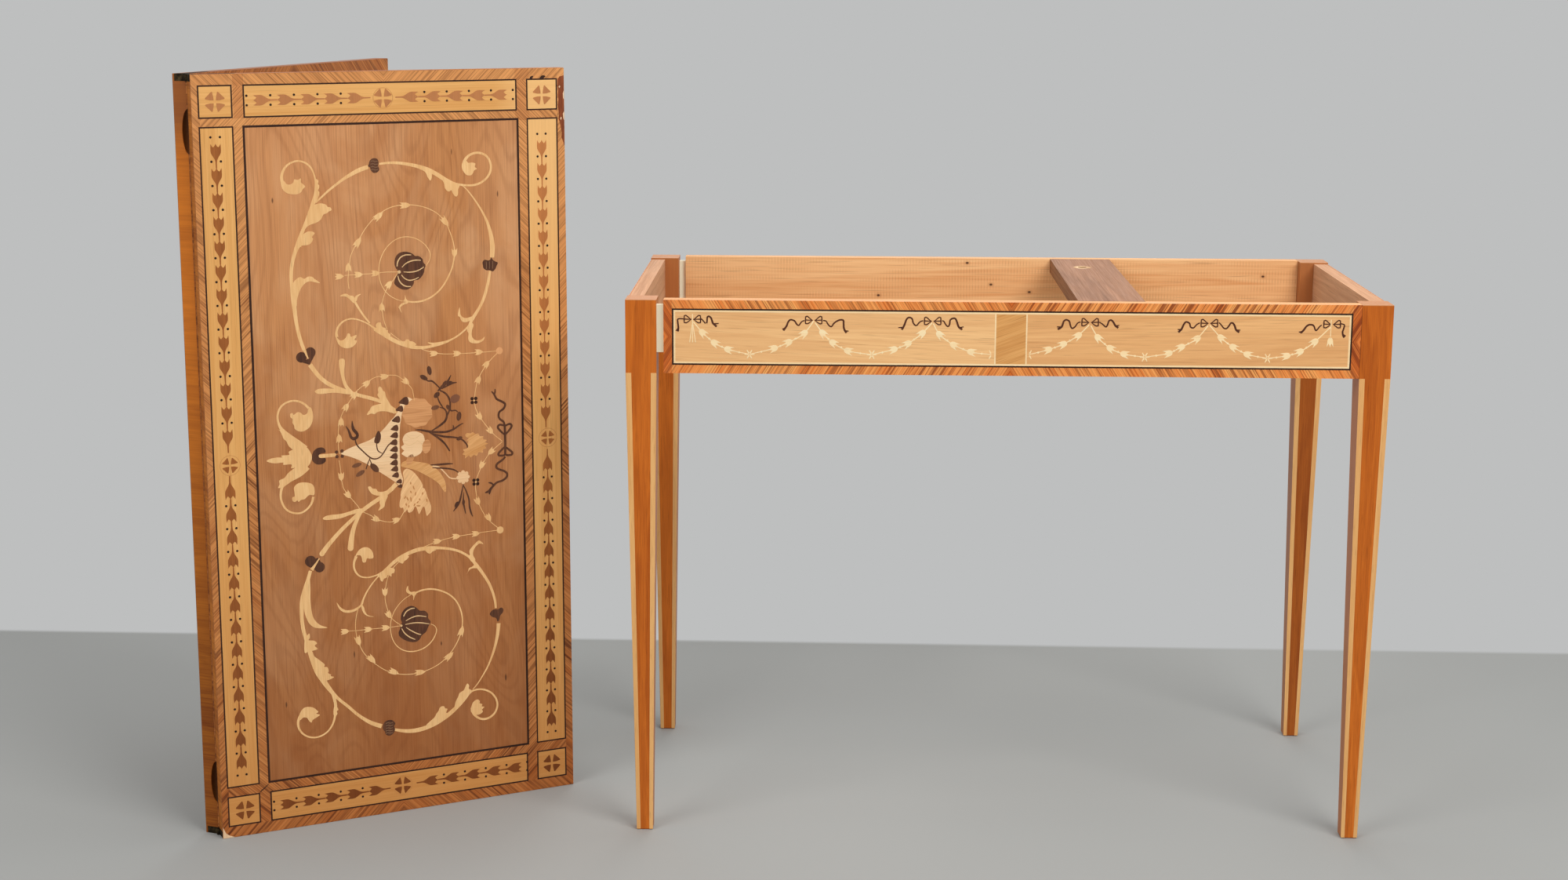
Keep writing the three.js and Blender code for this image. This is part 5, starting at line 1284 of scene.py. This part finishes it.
dark_stems = [
    [(280.4, 531.9, .8), (288, 531, 2.2), (300, 528, 3.2), (311, 526.3, 3.3), (323.5, 525.6, 2.9),
     (333.5, 528.1, 2.7), (342.3, 533.1, 2), (348, 535.5, 1)],
    [(333, 528.5, 1), (334, 531.5, 1.8), (333.4, 534, .8)],
    [(300, 482, 1), (312, 481.6, 2.6), (323, 481.5, 2.6), (332, 481, 1)],
    [(303, 478, 1), (318, 476, 2.2), (332, 473, 2), (341, 467, 1)],
    [(303, 528.5, 1.4), (315, 535, 2.8), (323, 541.5, 3), (325, 550, 2.5), (322, 557, 2), (315, 560, 1)],
    [(323, 543, 1.4), (328, 553, 2.3), (330, 560, 2.3), (329, 570, 2.5), (324, 578, 2.5), (316, 583, 1.8)],
    [(313, 582, 1.6), (320, 588.5, 4), (327, 594, 3), (332, 602.5, .9)],
    [(322, 586, 1.4), (332, 591, 3), (340, 592, .9)],
    [(330, 560, 1.2), (331, 554, 1.8), (337, 554, 1.8), (341, 551, 1.2)],
    [(316, 586, 1.4), (306, 596, 2.3), (300, 597, 1.8), (294, 601, 1.2)],
    [(312, 576, 1.2), (315, 567, 2), (320, 559, 1.2)],
    [(300, 527, 1.8), (310, 520, 2.8), (320, 511, 2.5), (326, 502, 2), (328, 498.5, 1)],
    [(303, 525, 1.8), (320, 519.5, 2.8), (335, 517, 2.3), (345, 513.5, 2.3), (352, 506, 2), (353, 501, 1.2)],
    [(346, 451.3, .8), (343.5, 440, 2), (341, 430, 2.6), (337.3, 422.5, 2.6), (331, 415, .9)],
    [(346.6, 440, .8), (345.4, 427.5, 2.2), (346.6, 420, 2.4), (348.5, 410, 1)],
    [(346, 450, .8), (349.8, 441.3, 2), (353.5, 430, 2.2), (354.1, 420, 2.2), (356, 411.3, 2.4), (358.5, 405, 1)],
]
dark_buds = [oval(*bud) for bud in (
    (222.7, 485.3, 16, 8, -48), (342, 545.5, 13, 6.5, 80), (294, 602, 12, 6, 150), (302, 611, 13, 6, 100),
    (311.5, 577, 10, 6.5, 40), (342, 515, 9, 5, 20), (336, 424, 9, 5, 60), (345.8, 426, 8, 4, 85),
    (327, 559, 8, 5, 120), (322, 590, 13, 5, 60), (329, 592, 11, 5, 10))]
let_in("dark_sprays", strokes(dark_stems) + dark_buds, knop_dark, 0.08)

# RIBBON
# A dark ribbon with two bows hangs down the free side of the field, where the husk chains
# meet. It is fretsawn from one dark veneer.
ribbon = [
    [(389, 576, .8), (393, 571, 1.5), (396, 565, 1.6), (403, 561, 1.7), (408, 557, 1.7), (406, 551, 1.6),
     (400, 547, 1.6), (398.5, 542, 1.6), (400, 537, 1.6), (405, 533, 1.6), (407, 528, 1.4)],
    [(394, 579, .7), (394, 575, 1.3), (393, 571, 1)],
    [(407, 527, 1.3), (400, 529, 1.6), (397, 526, 1.7), (400, 521, 1.6), (406, 515, 1.3)],
    [(408, 527, 1.3), (414, 529, 1.6), (417, 526, 1.7), (414, 521, 1.6), (408, 515, 1.3)],
    [(407, 528, 1.8), (407.3, 508, 1.8), (407, 489, 1.8)],
    [(407, 498, 1.3), (402, 494, 1.6), (397.5, 489.5, 1.7), (398, 486.5, 1.6), (405, 486, 1.5), (407, 489, 1.2)],
    [(408, 497, 1.3), (413, 493, 1.6), (417, 489, 1.7), (416, 486, 1.6), (409, 486, 1.5), (407, 489, 1.2)],
    [(407, 484, 1.3), (403, 480, 1.6), (395, 475, 1.7), (394, 470, 1.7), (398, 467, 1.6), (405, 464, 1.6),
     (409, 460, 1.7), (408, 455, 1.7), (402, 451, 1.6), (394, 449, 1.6), (388, 444, 1.7),
     (382, 438, 1.9), (377, 436.5, .9)],
    [(386, 441.5, 1), (383.5, 436.5, 1.5), (383, 433.5, .7)],
    [(389, 446, 1), (386, 449, 1.3), (382, 450, .7)],
]
let_in("ribbon", strokes(widened(ribbon, 1.85)), knop_dark, 0.08)

# BAIZE
# Green wool baize glued down inside the crossbanded border of either playing face, cut
# flush with it. It is worn a little paler where cards and arms have rubbed it.
baize_cloth, wires, surface = new_finish("baize_cloth", specular=0.2)
place = wires.node("TexCoord", output="Object")
fuzz = place.scaled(1400, 1400, 1400).noise(detail=2, roughness=0.7)
worn = place.scaled(5, 5, 4).noise(detail=3, roughness=0.6)
nap = place.scaled(90, 90, 60).noise(detail=2)
tone = (fuzz * 0.5 + nap * 0.5).mix(colour(44, 72, 46), colour(82, 112, 72))
feed((worn.span(0.5, 0.75) * 0.35).mix(tone, colour(112, 132, 88)), surface["Base Color"])
surface["Roughness"].default_value = 0.95
surface["Sheen Weight"].default_value = 0.25
emboss(fuzz * 0.7 + nap * 0.3, 0.0004, 0.6, surface)

baize_across, baize_up, baize_thick, baize_middle = 0.3794, 0.8874, 0.0006, 0.00095     # metres
for leaf, turn, side in (("upper_leaf", upper_turn, -1), ("lower_leaf", lower_turn, 1)):
    bpy.ops.object.select_all(action="DESELECT")
    bpy.ops.mesh.primitive_plane_add(size=1)
    cloth = bpy.context.object
    cloth.name = leaf + "_baize_cloth"
    cloth.scale = (baize_across, baize_up, 1)
    bpy.ops.object.transform_apply(location=False, rotation=False, scale=True)
    bpy.ops.object.mode_set(mode="EDIT")
    bpy.ops.mesh.select_all(action="SELECT")
    bpy.ops.mesh.subdivide(number_cuts=23)
    bpy.ops.object.mode_set(mode="OBJECT")
    shell = cloth.modifiers.new("thickness", "SOLIDIFY")
    shell.thickness = baize_thick
    shell.offset = 0
    bpy.ops.object.modifier_apply(modifier=shell.name)
    middle = leaf_place(turn, leaf_across / 2, side * baize_middle, leaf_middle)
    across = Vector((math.cos(turn), math.sin(turn), 0))
    cloth.matrix_world = face(middle, across * side, (0, 0, 1))
    bpy.ops.object.transform_apply(location=True, rotation=True, scale=True)
    cloth.data.materials.clear()
    cloth.data.materials.append(baize_cloth)
    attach(cloth, leaf)
    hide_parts(leaf + "_baize")

# HINGES AND PIVOT
# Brass corner hinges let into the ends of both leaves with countersunk screws, gone dull
# with age. The pivot's plate, stud, washer and nut are dark forged iron, its bush is brass.
def old_metal(name, bright, tarnish, rough, share=0.5):
    """Metal worn bright in places and tarnished in others, with fine scratches across it."""
    material, wires, surface = new_finish(name, metallic=1)
    place = wires.node("TexCoord", output="Object")
    cloud = place.scaled(70, 70, 70).noise(detail=4, roughness=0.65)
    scratches = place.scaled(260, 2600, 2600).noise(detail=2)
    pits = place.scaled(900, 900, 900).noise(detail=1)
    dull = cloud.span(0.5 - share * 0.3, 0.75 - share * 0.3)
    pitted = pits.span(0.6, 0.75)
    feed((pitted * 0.5).mix(dull.mix(bright, tarnish), darkened(tarnish, 0.4)), surface["Base Color"])
    feed(dull.span(0, 1, rough, rough + 0.22) + scratches.span(0.3, 0.7, -0.05, 0.05), surface["Roughness"])
    emboss(scratches * 0.4 - pitted, 0.00006, 0.4, surface)
    return material


dark_brass = old_metal("dark_brass", colour(112, 94, 62), colour(46, 38, 30), 0.5, share=0.9)
old_brass = old_metal("old_brass", colour(240, 206, 150), colour(186, 140, 90), 0.34)
forged_iron = old_metal("forged_iron", colour(104, 98, 92), colour(58, 46, 38), 0.48, share=0.7)
for name in nodes:
    if "hinge_" in name and nodes[name].material_slots[0].material.name.startswith("brass"):
        dress(dark_brass, name)
    elif name.startswith("plate_screw") or name in ("pivot_plate", "pivot_stud", "pivot_washer", "pivot_nut"):
        dress(forged_iron, name)
dress(old_brass, "pivot_bush")
